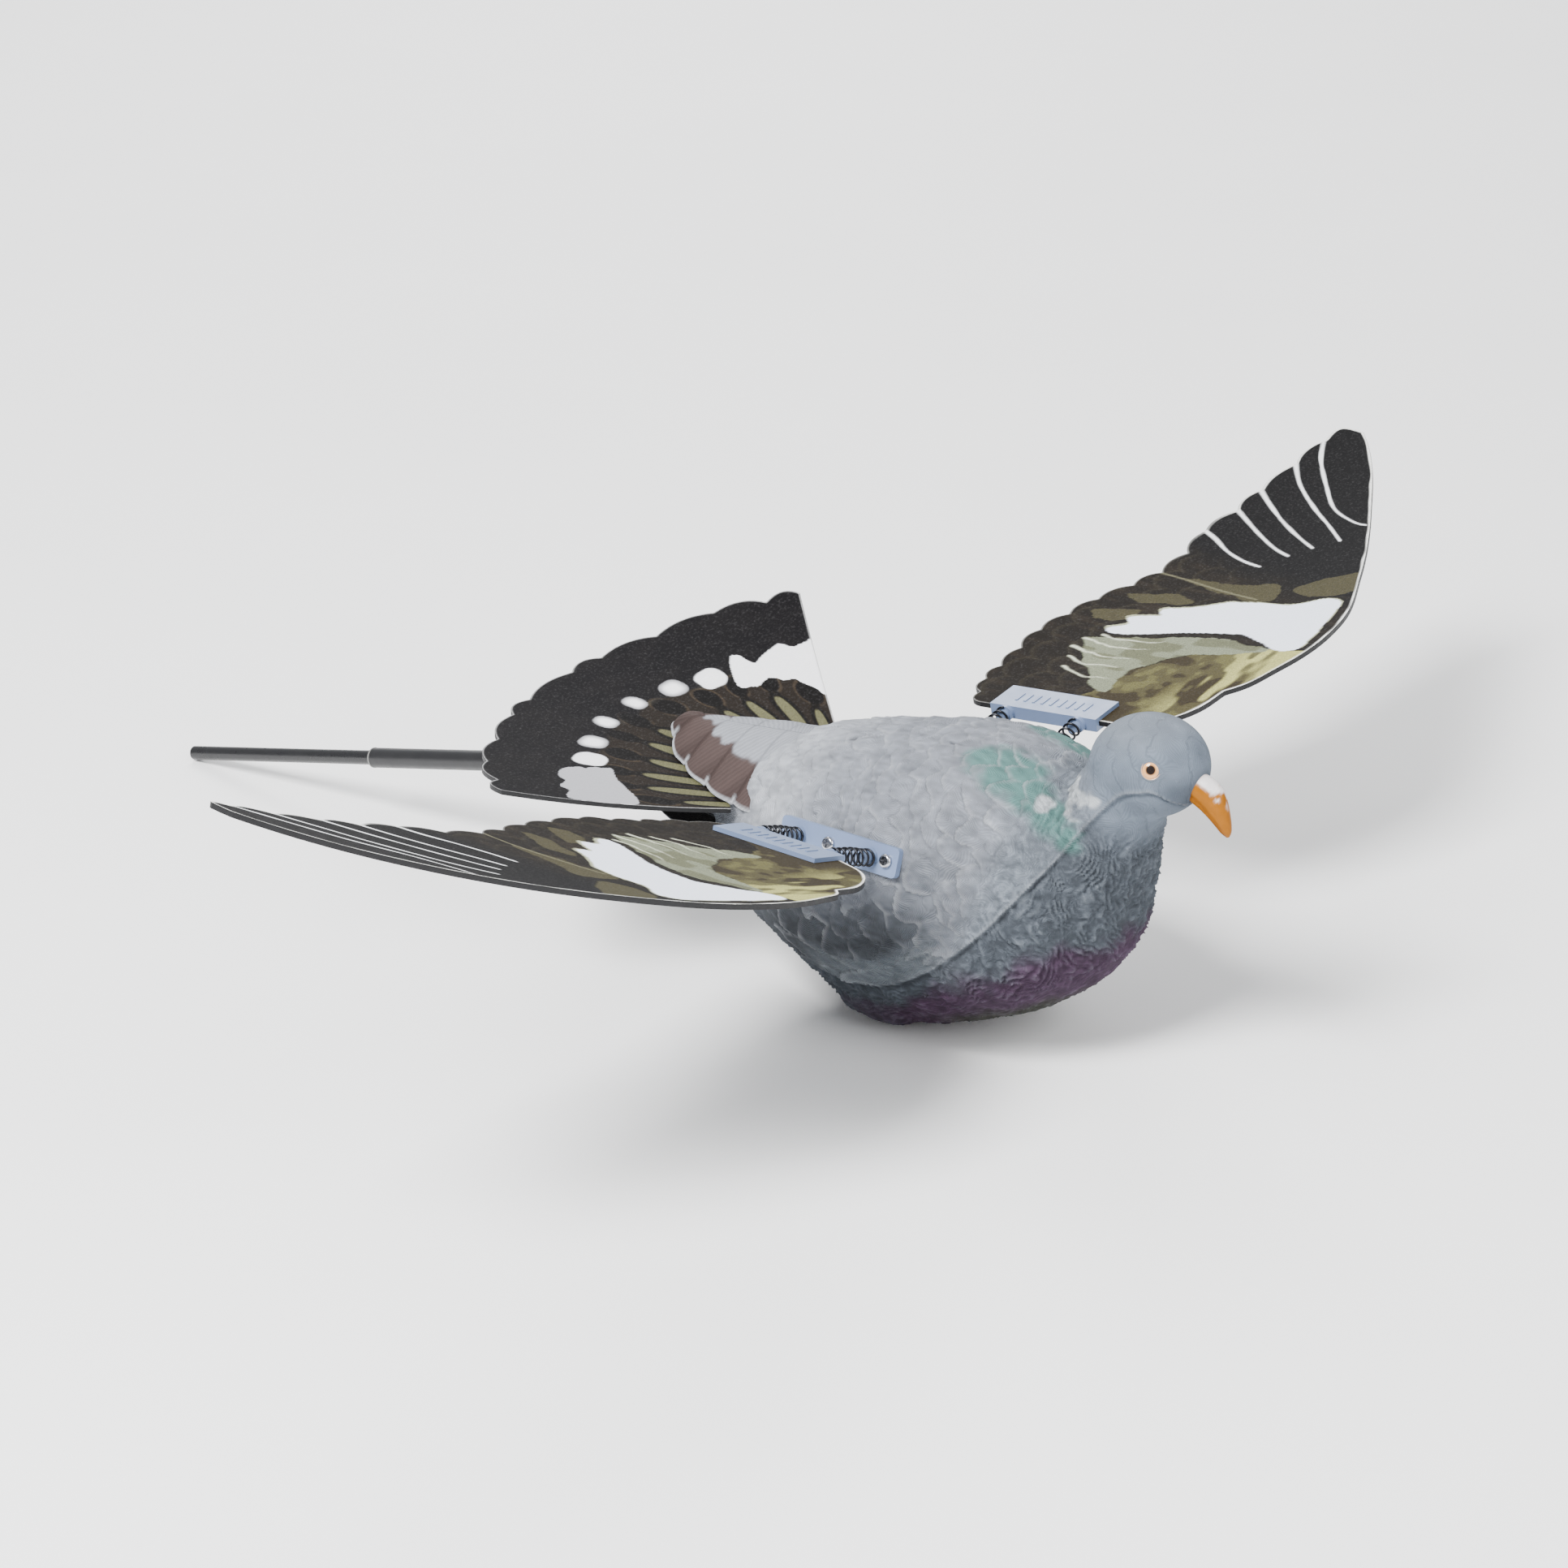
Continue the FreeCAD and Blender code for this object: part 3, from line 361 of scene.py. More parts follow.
def set_material(obj, material):
    obj.data.materials.clear()
    obj.data.materials.append(material)


# ---------------------------------------------------------------- body form
# The same stations as the CAD shells: share of the length, half width, top, bottom, height of
# the widest level, and the fullness of the section.
BODY_HALF, BODY_RISE, BODY_DROP, BODY_LENGTH = 61.5, 61.5, 64.0, 224.0
BODY_ORIGIN, BODY_TILT = Vector((0, -9.0, 64.0)), math.radians(14.2)
STATIONS = [(-0.476, 0.05, 0.12, 0.06, 0.00, 2.0), (-0.462, 0.17, 0.29, 0.23, 0.00, 2.0),
            (-0.433, 0.44, 0.48, 0.48, 0.01, 2.0), (-0.377, 0.69, 0.70, 0.71, 0.04, 2.0),
            (-0.285, 0.87, 0.88, 0.88, 0.07, 2.2), (-0.160, 0.98, 0.98, 0.975, 0.09, 2.3),
            (-0.022, 1.00, 1.00, 1.015, 0.09, 2.35), (0.134, 0.92, 1.01, 0.92, -0.02, 2.3),
            (0.268, 0.76, 0.97, 0.62, -0.16, 2.25), (0.393, 0.56, 0.90, 0.30, -0.32, 2.1),
            (0.482, 0.40, 0.81, 0.00, -0.44, 2.0), (0.527, 0.30, 0.72, -0.18, -0.48, 2.0)]
NECK = [(-70.0, -10.0, 42.0, 36.0, 42.0), (-86.0, 4.5, 35.0, 28.0, 45.0), (-98.5, 18.0, 27.0, 22.5, 48.0),
        (-109.5, 31.5, 22.0, 19.5, 52.0), (-120.5, 43.0, 19.5, 18.5, 56.0)]
HEAD_CENTRE, HEAD_RADII = (0, -127.2, 45.1), (21.5, 27.0, 22.0)
PARTING = [(-190, 2), (-165, 2), (-153, 6), (-149, 16), (-146, 28), (-142, 37), (-134, 40), (-125, 39),
           (-115, 33), (-103, 23.5), (-87, 8), (-70, -6.5), (-48, -20), (-7, -33), (25, -29), (60, -14),
           (97, 5), (135, 18)]
# How dark the body paint is laid on, then the skin's cell in millimetres and its smoothing passes.
PAINT_LEVEL = 0.46
SKIN_VOXEL, SKIN_SMOOTHING = ((0.9, 44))
BODY_MATRIX = Matrix.Translation(BODY_ORIGIN) @ Matrix.Rotation(-BODY_TILT, 4, "X")


def to_row(points, matrix):
    """Points in millimetres in a part's frame, as points in metres in the row frame."""
    turn = np.array(matrix.to_3x3())
    return (np.asarray(points, float) @ turn.T + np.array(matrix.translation)) * MM


def section_ring(values, count):
    share, wide, top, bottom, mid, power = values
    angle = np.linspace(0, 2 * math.pi, count, endpoint=False)
    across, along = np.cos(angle), np.sin(angle)
    centre = -mid * BODY_DROP
    rise, drop = top * BODY_RISE - centre, bottom * BODY_DROP + centre
    x = wide * BODY_HALF * np.sign(across) * np.abs(across) ** (2 / power)
    z = np.sign(along) * np.abs(along) ** (2 / power) * np.where(along > 0, rise, drop) + centre
    return np.column_stack([x, np.full(count, share * BODY_LENGTH), z])


def hermite(first, second, slope_first, slope_second, width, share):
    """A cubic between two values that leaves and arrives at the given slopes."""
    return ((2 * share ** 3 - 3 * share ** 2 + 1) * first
            + (share ** 3 - 2 * share ** 2 + share) * width * slope_first
            + (-2 * share ** 3 + 3 * share ** 2) * second
            + (share ** 3 - share ** 2) * width * slope_second)


def catmull(values, count):
    """Smooth rows of numbers through the given rows, as a lofted shell would run."""
    values = np.asarray(values, float)
    knots = np.concatenate([[0], np.cumsum(np.abs(np.diff(values[:, 0])) + 1e-9)])
    slopes = np.gradient(values, knots, axis=0)
    at = np.linspace(0, knots[-1], count)
    index = np.clip(np.searchsorted(knots, at, side="right") - 1, 0, len(knots) - 2)
    width = (knots[index + 1] - knots[index])[:, None]
    share = ((at - knots[index]) / width[:, 0])[:, None]
    return hermite(values[index], values[index + 1], slopes[index], slopes[index + 1], width, share)


def closed_tube(name, rings):
    count = len(rings[0])
    points = np.concatenate(rings)
    faces = grid_faces(len(rings), count, closed=True)
    faces.append(tuple(reversed(range(count))))
    faces.append(tuple(range(len(points) - count, len(points))))
    return make_mesh(name, points * MM, faces)


def body_form():
    """Trunk, neck and head grown together into one skin, in the shells' frame, millimetres."""
    trunk = closed_tube("trunk", [section_ring(row, 96) for row in catmull(STATIONS, 90)])
    rings = []
    for along, height, wide, deep, lean in catmull(NECK, 24):
        axis = np.array([0, -math.cos(math.radians(lean)), math.sin(math.radians(lean))])
        up = np.cross([1, 0, 0], axis)
        angle = np.linspace(0, 2 * math.pi, 64, endpoint=False)
        rings.append(np.array([0, along, height]) + np.outer(np.cos(angle) * wide, [1, 0, 0])
                     + np.outer(np.sin(angle) * deep, up))
    neck = closed_tube("neck", rings)
    ball = []
    for turn in np.linspace(0.02, math.pi - 0.02, 40):
        angle = np.linspace(0, 2 * math.pi, 64, endpoint=False)
        ring = np.column_stack([np.sin(turn) * np.cos(angle), np.full(64, np.cos(turn)),
                                np.sin(turn) * np.sin(angle)])
        ball.append(ring * HEAD_RADII + HEAD_CENTRE)
    head = closed_tube("head", ball)
    for other in bpy.data.objects:
        other.select_set(other in (trunk, neck, head))
    bpy.context.view_layer.objects.active = trunk
    bpy.ops.object.join()
    remesh = trunk.modifiers.new("remesh", "REMESH")
    remesh.mode = "VOXEL"
    remesh.voxel_size = SKIN_VOXEL * MM
    soften = trunk.modifiers.new("soften", "SMOOTH")
    soften.factor = 0.5
    soften.iterations = SKIN_SMOOTHING
    apply_modifiers(trunk)
    return trunk


def tongues(along, around, length, width, pitch):
    """Overlapping rounded feathers that point along the first axis.

    Gives the height of the pile, the barb coordinate beside each shaft and the nearness to a
    feather's rim, for every point."""
    height = np.full(len(along), -9.0)
    barb = np.zeros(len(along))
    rim = np.zeros(len(along))
    row = np.floor(along / pitch)
    for step in range(-1, 2):
        index = row + step
        shift = np.where(np.mod(index, 2) > 0.5, 0.5, 0.0) * width
        column = np.round((around - shift) / width)
        for side in (-1, 0, 1):
            middle = (column + side) * width + shift
            jitter = lattice_noise(np.column_stack([index, column + side]), 0.37, 3)
            ahead = (along - index * pitch - jitter * 0.16 * pitch) / length
            beside = (around - middle) / (width * 0.72)
            radius = np.sqrt(np.clip(ahead, -1, 2) ** 2 + beside ** 2)
            inside = (radius < 1) & (ahead > -1)
            level = 0.55 + 0.45 * ahead - 0.22 * beside ** 2
            better = inside & (level > height)
            height = np.where(better, level, height)
            barb = np.where(better, (ahead * length - np.abs(beside) * width * 0.9), barb)
            rim = np.where(better, smooth(0.80, 1.0, radius), rim)
    return np.where(height < -5, 0.2, height), barb, rim


def parting_height(along):
    places = np.array(PARTING, float)
    return catmull_at(places[:, 0], places[:, 1], along)


def catmull_at(xs, ys, at):
    """A smooth curve through (xs, ys), read at the given places."""
    xs, ys = np.asarray(xs, float), np.asarray(ys, float)
    at = np.clip(at, xs[0], xs[-1])
    slopes = np.gradient(ys, xs)
    index = np.clip(np.searchsorted(xs, at, side="right") - 1, 0, len(xs) - 2)
    width = xs[index + 1] - xs[index]
    share = (at - xs[index]) / width
    return hermite(ys[index], ys[index + 1], slopes[index], slopes[index + 1], width, share)


def blob(points, centre, radii):
    """1 inside a soft ellipsoid, 0 outside. Mirrored in x."""
    spot = (np.column_stack([np.abs(points[:, 0]), points[:, 1], points[:, 2]]) - centre) / radii
    return 1 - smooth(0.72, 1.12, np.sqrt((spot ** 2).sum(1)))


def hackles(points, spacing, seed):
    """Wavy strands that run down the neck and back along the breast: 1 on a crest, 0 in a furrow."""
    x, s, h = points.T
    turn = smooth(14, -34, h - 0.2 * s)
    beside = s * (0.72 - 0.60 * turn) + h * (0.69 + 0.31 * turn) + 0.75 * np.abs(x)
    sway = 5.5 * lattice_noise(points, 13, seed) + 2.3 * lattice_noise(points, 5.5, seed + 1)
    sway = sway + 0.9 * lattice_noise(points, 2.8, seed + 2)
    wave = np.abs(np.sin(math.pi * (beside + 1.6 * sway) / spacing))
    strength = np.clip(0.60 + 1.6 * lattice_noise(points, 4.2, seed + 3), 0.05, 1)
    return (1 - wave ** 0.8) * strength


def dents(points):
    """Nearness to the short slits cut in the back."""
    nearest = np.full(len(points), 99.0)
    for start, end in SLITS:
        nearest = np.minimum(nearest, nearest_on(points, np.array(start), np.array(end))[0])
    return smooth(1.5, 0.7, nearest)


def sculpt_body():
    form = body_form()
    points = vertices(form) / MM
    normals = np.zeros(len(points) * 3)
    form.data.vertices.foreach_get("normal", normals)
    normals = normals.reshape(-1, 3)
    x, s, h = points.T
    angle = np.arctan2(np.abs(x), h + 10)
    seam = h - parting_height(s)
    upper = seam > 0
    head = smooth(-96, -122, s + 0.35 * (30 - h)) * smooth(2, 26, h)
    neck = smooth(-62, -92, s) * smooth(-8, 10, h) * (1 - head)
    slit = dents(points)

    warp = lattice_noise(points, 16, 11) * 5.0 + lattice_noise(points, 6, 12) * 2.4
    warp_side = lattice_noise(points, 18, 13) * 5.0 + lattice_noise(points, 7, 14) * 2.4
    arc = angle * 60.0
    back, back_barb, back_rim = tongues(s + warp + arc * 0.14, arc + warp_side, 14.0, 12.5, 8.5)
    large, large_barb, large_rim = tongues(s * 0.92 + arc * 0.42 + warp, arc - 0.38 * s + warp_side,
                                           21.0, 17.0, 12.5)
    quill, quill_barb, quill_rim = tongues(s * 0.5 + 0.4 * warp, seam + 0.05 * s + 0.5 * warp_side,
                                           26.0, 7.5, 20.0)
    breast, breast_barb, breast_rim = tongues(s * 0.55 - h * 0.85 + 1.9 * warp,
                                              arc * 1.1 + s * 0.20 + 1.7 * warp_side, 6.4, 6.2, 4.4)
    strand = hackles(points, 3.7, 15)
    fine_strand = hackles(points, 2.4, 75)

    edge_band = upper * smooth(17, 9, seam) * smooth(-52, -30, s) * (1 - neck)
    flank = upper * smooth(52, 38, seam) * smooth(-62, -40, s) * (1 - neck) * (1 - edge_band)
    front = np.maximum(smooth(-52, -72, s + 0.55 * h), 1.0 - upper) * (1 - head) * (1 - flank) * (1 - edge_band)
    rear_soft = smooth(40, 75, s) * smooth(0, 20, h)
    plain_back = (1 - front) * (1 - flank) * (1 - edge_band) * (1 - head)
    strands = front * (0.85 * strand + 0.35 * fine_strand - 0.3) * (1 - 0.5 * upper)
    belly_calm = 1 - 0.6 * (1 - upper) * smooth(-34, -50, h)
    relief = (plain_back * (back - 0.5) * (2.7 - 1.6 * rear_soft)
              + flank * (large - 0.5) * 3.2 + edge_band * (quill - 0.5) * 2.0
              + front * (breast - 0.5) * 0.5 + 2.3 * strands * belly_calm * (1 - 0.5 * smooth(-12, -4, seam)))
    ripples = lattice_noise(points, 2.6, 21) * 0.22 + lattice_noise(points, 5.5, 22) * 0.35
    ridge = np.exp(-(seam / 0.9) ** 2) * 0.8 - np.exp(-((seam + 2.2) / 1.2) ** 2) * 0.6
    thigh = smooth(0, -18, seam) * blob(points, (33, 12, -45), (15, 24, 16)) * 3.2
    narrow = (1 - upper) * smooth(26, 60, s) * smooth(-2, -16, seam) * 3.5
    crease = (1 - upper) * np.exp(-((np.abs(x) - 18.0) / 2.4) ** 2) * smooth(-38, -50, h) * smooth(-2, 10, s) * 2.5
    shift = relief * (1 - 0.6 * slit) + ripples * (1 - head) + ridge - 1.3 * slit + thigh - crease - narrow
    points = points + normals * shift[:, None]
    barb = np.select([edge_band > 0.5, flank > 0.5, front > 0.5],
                     [quill_barb, large_barb, breast_barb * 0.8], back_barb)
    rim = plain_back * back_rim + flank * large_rim + edge_band * quill_rim + front * breast_rim * 0.3

    patch = lattice_noise(points, 14, 23)
    tint = np.tile(colour("a6abb5"), (len(points), 1))
    tint = paint(tint, "d3d7df", np.clip(smooth(-5, 55, s) * smooth(10, 42, h) + 0.15 * patch, 0, 1))
    tint = paint(tint, "8b9099", smooth(62, 34, seam) * upper * smooth(-75, -50, s))
    tint = paint(tint, "53575d", smooth(50, 14, seam + 3 * patch) * upper * smooth(-66, -20, s))
    tint = paint(tint, "848c93", edge_band * smooth(42, 18, s) * 0.85)
    tint = paint(tint, "8f99a4", np.maximum(neck, front * upper) * 0.8)
    tint = paint(tint, "6b727b", (1 - upper) * smooth(-30, -60, s))
    tint = paint(tint, "626972", (1 - upper) * smooth(-60, -30, s))
    tint = paint(tint, "8b97a6", head)
    # Painted shade on the cheek beside the base of the bill.
    tint = paint(tint, "5c6571", head * smooth(-138, -147, s) * smooth(46, 36, h) * 0.6)
    # Painted highlight on the top of the head.
    tint = paint(tint, "a3aab3", head * smooth(50, 66, h) * 0.5)
    ceiling = np.interp(s, [-100, -80, -65, -50, -17, 15, 45], [-27, -24, -28, -32, -40, -44, -47])
    cloud = 5.0 * lattice_noise(points, 11, 5) + 2.5 * lattice_noise(points, 4, 6)
    mauve = (1 - upper) * smooth(3, -9, h - ceiling + cloud) * smooth(78, 46, s)
    tint = paint(tint, "5f435e", np.clip(mauve, 0, 1) * 0.85)
    tint = paint(tint, "4f504a", smooth(-47, -58, h + 0.5 * cloud) * smooth(-8, -34, s) * (1 - upper))
    tint = paint(tint, "5f676e", (1 - upper) * np.maximum(smooth(48, 68, s), np.clip(thigh / 7, 0, 1) * 0.75))
    tint = paint(tint, "6f9c97", np.clip(patch_of(points, TEAL, 4.5) * 0.95, 0, 1))
    tint = paint(tint, "dfe5ea", patch_of(points, BLAZE, 2.0, 0.6))
    # Light paint on the raised rims of the feathers: partly the decoy's brushed edging, partly painted highlight.
    tint = paint(tint, "d6dae0", rim * (0.46 * plain_back + 0.36 * flank + 0.30 * edge_band)
               * np.clip(0.75 + 1.2 * lattice_noise(points, 8, 28), 0.15, 1))
    crest = front * (0.8 * strand + 0.3 * fine_strand)
    # Painted highlight: the crests of the neck and breast strands are painted lighter.
    tint = paint(tint, "b4bcc2", np.clip(crest - 0.35, 0, 1) * 0.30)
    # Painted shade: the tint is darkened in the hollows of the feather relief and in the furrows between the neck
    # and breast strands.
    hollow_shade = 0.42 * (1 - front) * smooth(0.2, -0.8, relief) + 0.34 * front * smooth(0.30, 0.0, crest)
    tint = tint * (1 - hollow_shade)[:, None]
    # Painted highlight along the raised parting seam, then painted shade in the groove just below it.
    tint = paint(tint, "aab0b7", 0.5 * np.exp(-((seam - 0.2) / 0.7) ** 2) * smooth(10, -40, s))
    tint = tint * (1 - 0.30 * np.exp(-((seam + 1.9) / 1.0) ** 2))[:, None]
    # Painted shade: the slits cut in the back are painted near black.
    tint = paint(tint, "1c1d20", slit)
    strokes = lattice_noise(np.column_stack([x, s * 0.45 + 0.3 * h, h - 0.3 * s]), 1.7, 27)
    brushed = 1 + 0.12 * lattice_noise(points * [1, 0.6, 1], 5.5, 26) + 0.24 * strokes * (1 - 0.8 * head)
    tint = deepen(tint, 1.05, PAINT_LEVEL) * brushed[:, None]
    fine = 1 - 0.75 * head - 0.4 * front
    return form, points, dict(tint=tint, barb=barb, fine=fine), upper


# Painted marks: points in the shells' frame and radii, given for the right side. The left side
# has the same marks, set further out from the ridge of the back.
FAR_MARK_SHIFT = 7.0
TEAL = [((19, -57, 54), 7), ((14, -65, 53), 7), ((14, -76, 48), 8), ((21, -68, 48), 10), ((22, -79, 40), 10),
        ((24, -89, 30), 8), ((24, -98, 22), 5)]
BLAZE = [((13, -96, 42), 3.0), ((15, -91, 41), 2.6), ((20, -88, 38), 2.2), ((26, -87, 35), 1.6),
         ((18, -98, 38), 4.4), ((21, -104, 36), 2.8), ((22, -98, 32), 3.0), ((24, -93, 31), 1.6),
         ((21, -110, 37), 1.4)]
SLITS = [((-13.6, -36.7, 60.2), (-16.0, -50.5, 58.2)), ((-14.3, 18.0, 62.0), (-13.5, 15.5, 62.2)),
         ((-12.2, 10.7, 62.3), (-8.2, 7.9, 62.6))]


def patch_of(points, spots, soft, ragged=0.35):
    """How far inside a painted mark each point lies, 0 to 1, with a brushed edge."""
    aside = np.where(points[:, 0] > 0, points[:, 0] - FAR_MARK_SHIFT, -points[:, 0])
    mirrored = np.column_stack([aside, points[:, 1], points[:, 2]])
    depth = np.full(len(points), -99.0)
    for centre, radius in spots:
        depth = np.maximum(depth, radius - np.linalg.norm(mirrored - centre, axis=1))
    brush = lattice_noise(mirrored * [1, 0.3, 1], 2.6, 24) + lattice_noise(mirrored, 7, 25)
    return smooth(-soft, soft * 0.6, depth + 5 * ragged * brush)


def split_body():
    """The sculpted skin as its two moulded halves, divided along the parting line."""
    form, points, layers, upper = sculpt_body()
    corners = np.zeros(len(form.data.polygons) * 4, np.int64)
    form.data.polygons.foreach_get("vertices", corners)
    quads = corners.reshape(-1, 4)
    above = upper[quads].mean(1) >= 0.5
    row_points = to_row(points, BODY_MATRIX)
    row_points[:, 2] = np.maximum(row_points[:, 2], 0.0)
    halves = []
    for name, chosen in (("upper_shell_skin", above), ("lower_shell_skin", ~above)):
        used, fresh = np.unique(quads[chosen], return_inverse=True)
        half = make_mesh(name, row_points[used], fresh.reshape(-1, 4).tolist())
        for key, values in layers.items():
            store(half, key, values[used])
        set_material(half, FEATHER)
        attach(half, "body")
        halves.append(half)
    bpy.data.objects.remove(form)
    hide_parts("upper_shell")
    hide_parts("lower_shell")
    return halves


# ---------------------------------------------------------------- outlines of the printed sheets
ROOT_LOBE = [(44.0, 23.0), (53.5, 34.0), (60.0, 47.0), (62.8, 62.0)]
LEADING = [(62.8, 62.0), (69.5, 69.5), (75.5, 84.0), (80.0, 108.0), (77.5, 139.0),
           (58.0, 190.0), (27.0, 254.0), (-8.0, 313.0), (-15.0, 321.5)]
TIP = (-25.5, 325.5)
NOTCHES = [(-29.0, 309.0), (-31.5, 285.0), (-34.5, 257.0), (-35.0, 235.0), (-38.5, 211.0), (-34.5, 188.0),
           (-35.0, 166.0), (-40.0, 149.0), (-47.0, 129.5), (-50.5, 110.5), (-53.5, 91.0), (-52.0, 72.5),
           (-51.5, 55.0), (-51.5, 42.5), (-46.5, 30.0)]
WING_LOBE = 3.2
CLIP_INNER = {"left": 18.0, "right": 11.5}
CLIP_WALL = 2.5


def arc_points(start, end, swell, count=14):
    """Points on an arc from start to end that swells out on the right of the run."""
    start, end = np.array(start, float), np.array(end, float)
    run = end - start
    across = np.array([run[1], -run[0]]) / np.hypot(*run)
    share = np.linspace(0, 1, count, endpoint=False)[:, None]
    return start + run * share + across * swell * (4 * share * (1 - share))


def wing_loop(side):
    """Closed outline (forward, outward), counted from the root along the leading edge."""
    root = CLIP_INNER[side] + CLIP_WALL
    root_lobe = [(1.8 * root - 1.2, root)] + ROOT_LOBE
    notches = NOTCHES + [(-0.6 * root - 27.6, root)]
    lead = []
    for points, count in ((root_lobe, 50), (LEADING, 140)):
        forward, outward = np.array(points, float).T
        chain = np.concatenate([[0], np.cumsum(np.hypot(np.diff(outward), np.diff(forward)))])
        at = np.linspace(0, chain[-1], count)
        lead.append(np.column_stack([catmull_at(chain, forward, at), catmull_at(chain, outward, at)])[:-1])
    lead = np.concatenate(lead + [np.array(LEADING[-1:], float)])
    tip = arc_points(LEADING[-1], NOTCHES[0], 0, 24)
    bulge = np.sin(np.linspace(0, math.pi, 24, endpoint=False))
    run = np.array(NOTCHES[0], float) - np.array(LEADING[-1], float)
    across = np.array([-run[1], run[0]]) / np.hypot(*run)
    if np.dot(across, np.array(TIP) - np.array(LEADING[-1])) < 0:
        across = -across
    tip = tip + np.outer(bulge, across) * 8.0
    pieces = [lead, tip[1:]]
    for start, end in zip(notches, notches[1:]):
        pieces.append(arc_points(start, end, WING_LOBE))
    pieces.append(np.array([notches[-1]], float))
    return np.concatenate(pieces)


def crossing(loop, at, lowest):
    """The lowest or highest forward value of the outline at each outward station."""
    best = np.full(len(at), np.inf if lowest else -np.inf)
    for (f0, v0), (f1, v1) in zip(loop, np.roll(loop, -1, axis=0)):
        low, high = min(v0, v1), max(v0, v1)
        hit = (at >= low) & (at <= high) & (high > low)
        if hit.any():
            value = f0 + (f1 - f0) * (at[hit] - v0) / (v1 - v0)
            best[hit] = np.minimum(best[hit], value) if lowest else np.maximum(best[hit], value)
    return best


def edge_distance(points, loop):
    """Distance of each point from the outline."""
    nearest = np.full(len(points), np.inf)
    for start, end in zip(loop, np.roll(loop, -1, axis=0)):
        nearest = np.minimum(nearest, nearest_on(points, start, end)[0])
    return nearest


def distance_to_line(points, line):
    """Distance of each point from an open line, and its place along the line from 0 to 1."""
    nearest = np.full(len(points), np.inf)
    place = np.zeros(len(points))
    line = np.asarray(line, float)
    for number, (start, end) in enumerate(zip(line, line[1:])):
        distance, share = nearest_on(points, start, end)
        place = np.where(distance < nearest, (number + share) / (len(line) - 1), place)
        nearest = np.minimum(nearest, distance)
    return nearest, place


def inside_loop(points, loop):
    """True for points inside a closed outline."""
    inside = np.zeros(len(points), bool)
    x, y = points.T
    for (x0, y0), (x1, y1) in zip(loop, np.roll(loop, -1, axis=0)):
        if y0 == y1:
            continue
        crosses = (y0 > y) != (y1 > y)
        inside ^= crosses & (x < (x1 - x0) * (y - y0) / (y1 - y0) + x0)
    return inside


def smooth_loop(points, closed=True, count=12):
    """A rounded outline through a few points."""
    points = np.asarray(points, float)
    if closed:
        before, after, later = np.roll(points, 1, 0), np.roll(points, -1, 0), np.roll(points, -2, 0)
        start = points
    else:
        padded = np.concatenate([points[:1], points, points[-1:]])
        before, start, after, later = padded[:-3], padded[1:-2], padded[2:-1], padded[3:]
    share = np.linspace(0, 1, count, endpoint=False)
    out = []
    for p0, p1, p2, p3 in zip(before, start, after, later):
        for t in share:
            out.append(0.5 * (2 * p1 + (p2 - p0) * t + (2 * p0 - 5 * p1 + 4 * p2 - p3) * t ** 2
                              + (3 * p1 - p0 - 3 * p2 + p3) * t ** 3))
    if not closed:
        out.append(points[-1])
    return np.array(out)


# ---------------------------------------------------------------- printed wings
# Marks of the print, as (forward, outward) of the flapping axis.
PRIMARY_LINES = [[(-29.5, 308), (-22, 292), (-8, 272), (8, 252), (24, 242), (32, 240)],
                 [(-31.5, 284), (-20, 268), (-2, 250), (14, 236), (28, 222.6)],
                 [(-34.5, 256), (-24, 246), (-8, 232), (8, 220), (19, 212.5)],
                 [(-35, 235), (-26, 228), (-12, 217), (2, 207), (12, 202)],
                 [(-38.5, 211), (-30, 206), (-18, 197), (-6, 191), (5, 188)]]
PALE_LINE = [(-34.5, 165.5), (-20, 164), (0, 160), (22, 156)]
WHITE_PATCH = [(64.8, 160), (69, 146), (73, 122), (74, 108), (64, 104), (52, 112), (40, 118), (28, 118), (14, 116),
               (2, 112), (-10, 106), (-24, 103), (-27.4, 107.6), (-20, 114), (-24, 119), (-20.6, 122.9), (-12, 127),
               (-14, 131), (-11.6, 134.6), (0, 140), (12, 150), (26, 153), (38, 153), (46, 156), (56, 162)]
GREEN_PATCH = [(60, 104), (40, 112), (20, 112), (0, 106), (-18, 100), (-29.9, 94.4), (-26, 86), (-20, 74),
               (-8, 62), (0, 50), (10, 48), (8, 60), (10, 74), (16, 86), (28, 94), (44, 98)]
COVERT_FRONT = [(74, 106), (60, 104), (44, 98), (28, 94), (16, 86), (10, 74), (6, 60), (4, 44), (-4, 36), (-20, 28),
                (-24, 10), (60, 10), (90, 60), (90, 106)]
OLIVE_PATCHES = [[(66, 196), (50, 188), (38, 178), (34, 168), (46, 164), (58, 166), (66, 176)],
                 [(24, 172), (8, 168), (-14, 166), (-20, 162), (0, 158), (22, 154), (30, 158)],
                 [(-14, 150), (-26, 146), (-36, 142), (-30, 136), (-16, 138), (-4, 144)],
                 [(-22, 128), (-34, 124), (-44, 118), (-36, 112), (-24, 116)]]
FINGERS = [[(-26, 100), (-10, 99), (6, 104)], [(-30, 93), (-14, 90), (2, 94)], [(-30, 84), (-14, 80), (0, 82)],
           [(-28, 74), (-12, 70), (2, 72)], [(-24, 64), (-10, 60), (4, 60)]]


INK_CONTRAST, INK_LEVEL, CLOTH_LEVEL = 1.32, 0.62, 0.98


def printed_ink(tint):
    """Deepens the inks but leaves the bare white cloth as it is."""
    bare = smooth(0.45, 0.80, tint.mean(1))[:, None]
    return deepen(tint, 1.04, 1.0) ** INK_CONTRAST * (INK_LEVEL + (CLOTH_LEVEL - INK_LEVEL) * bare)


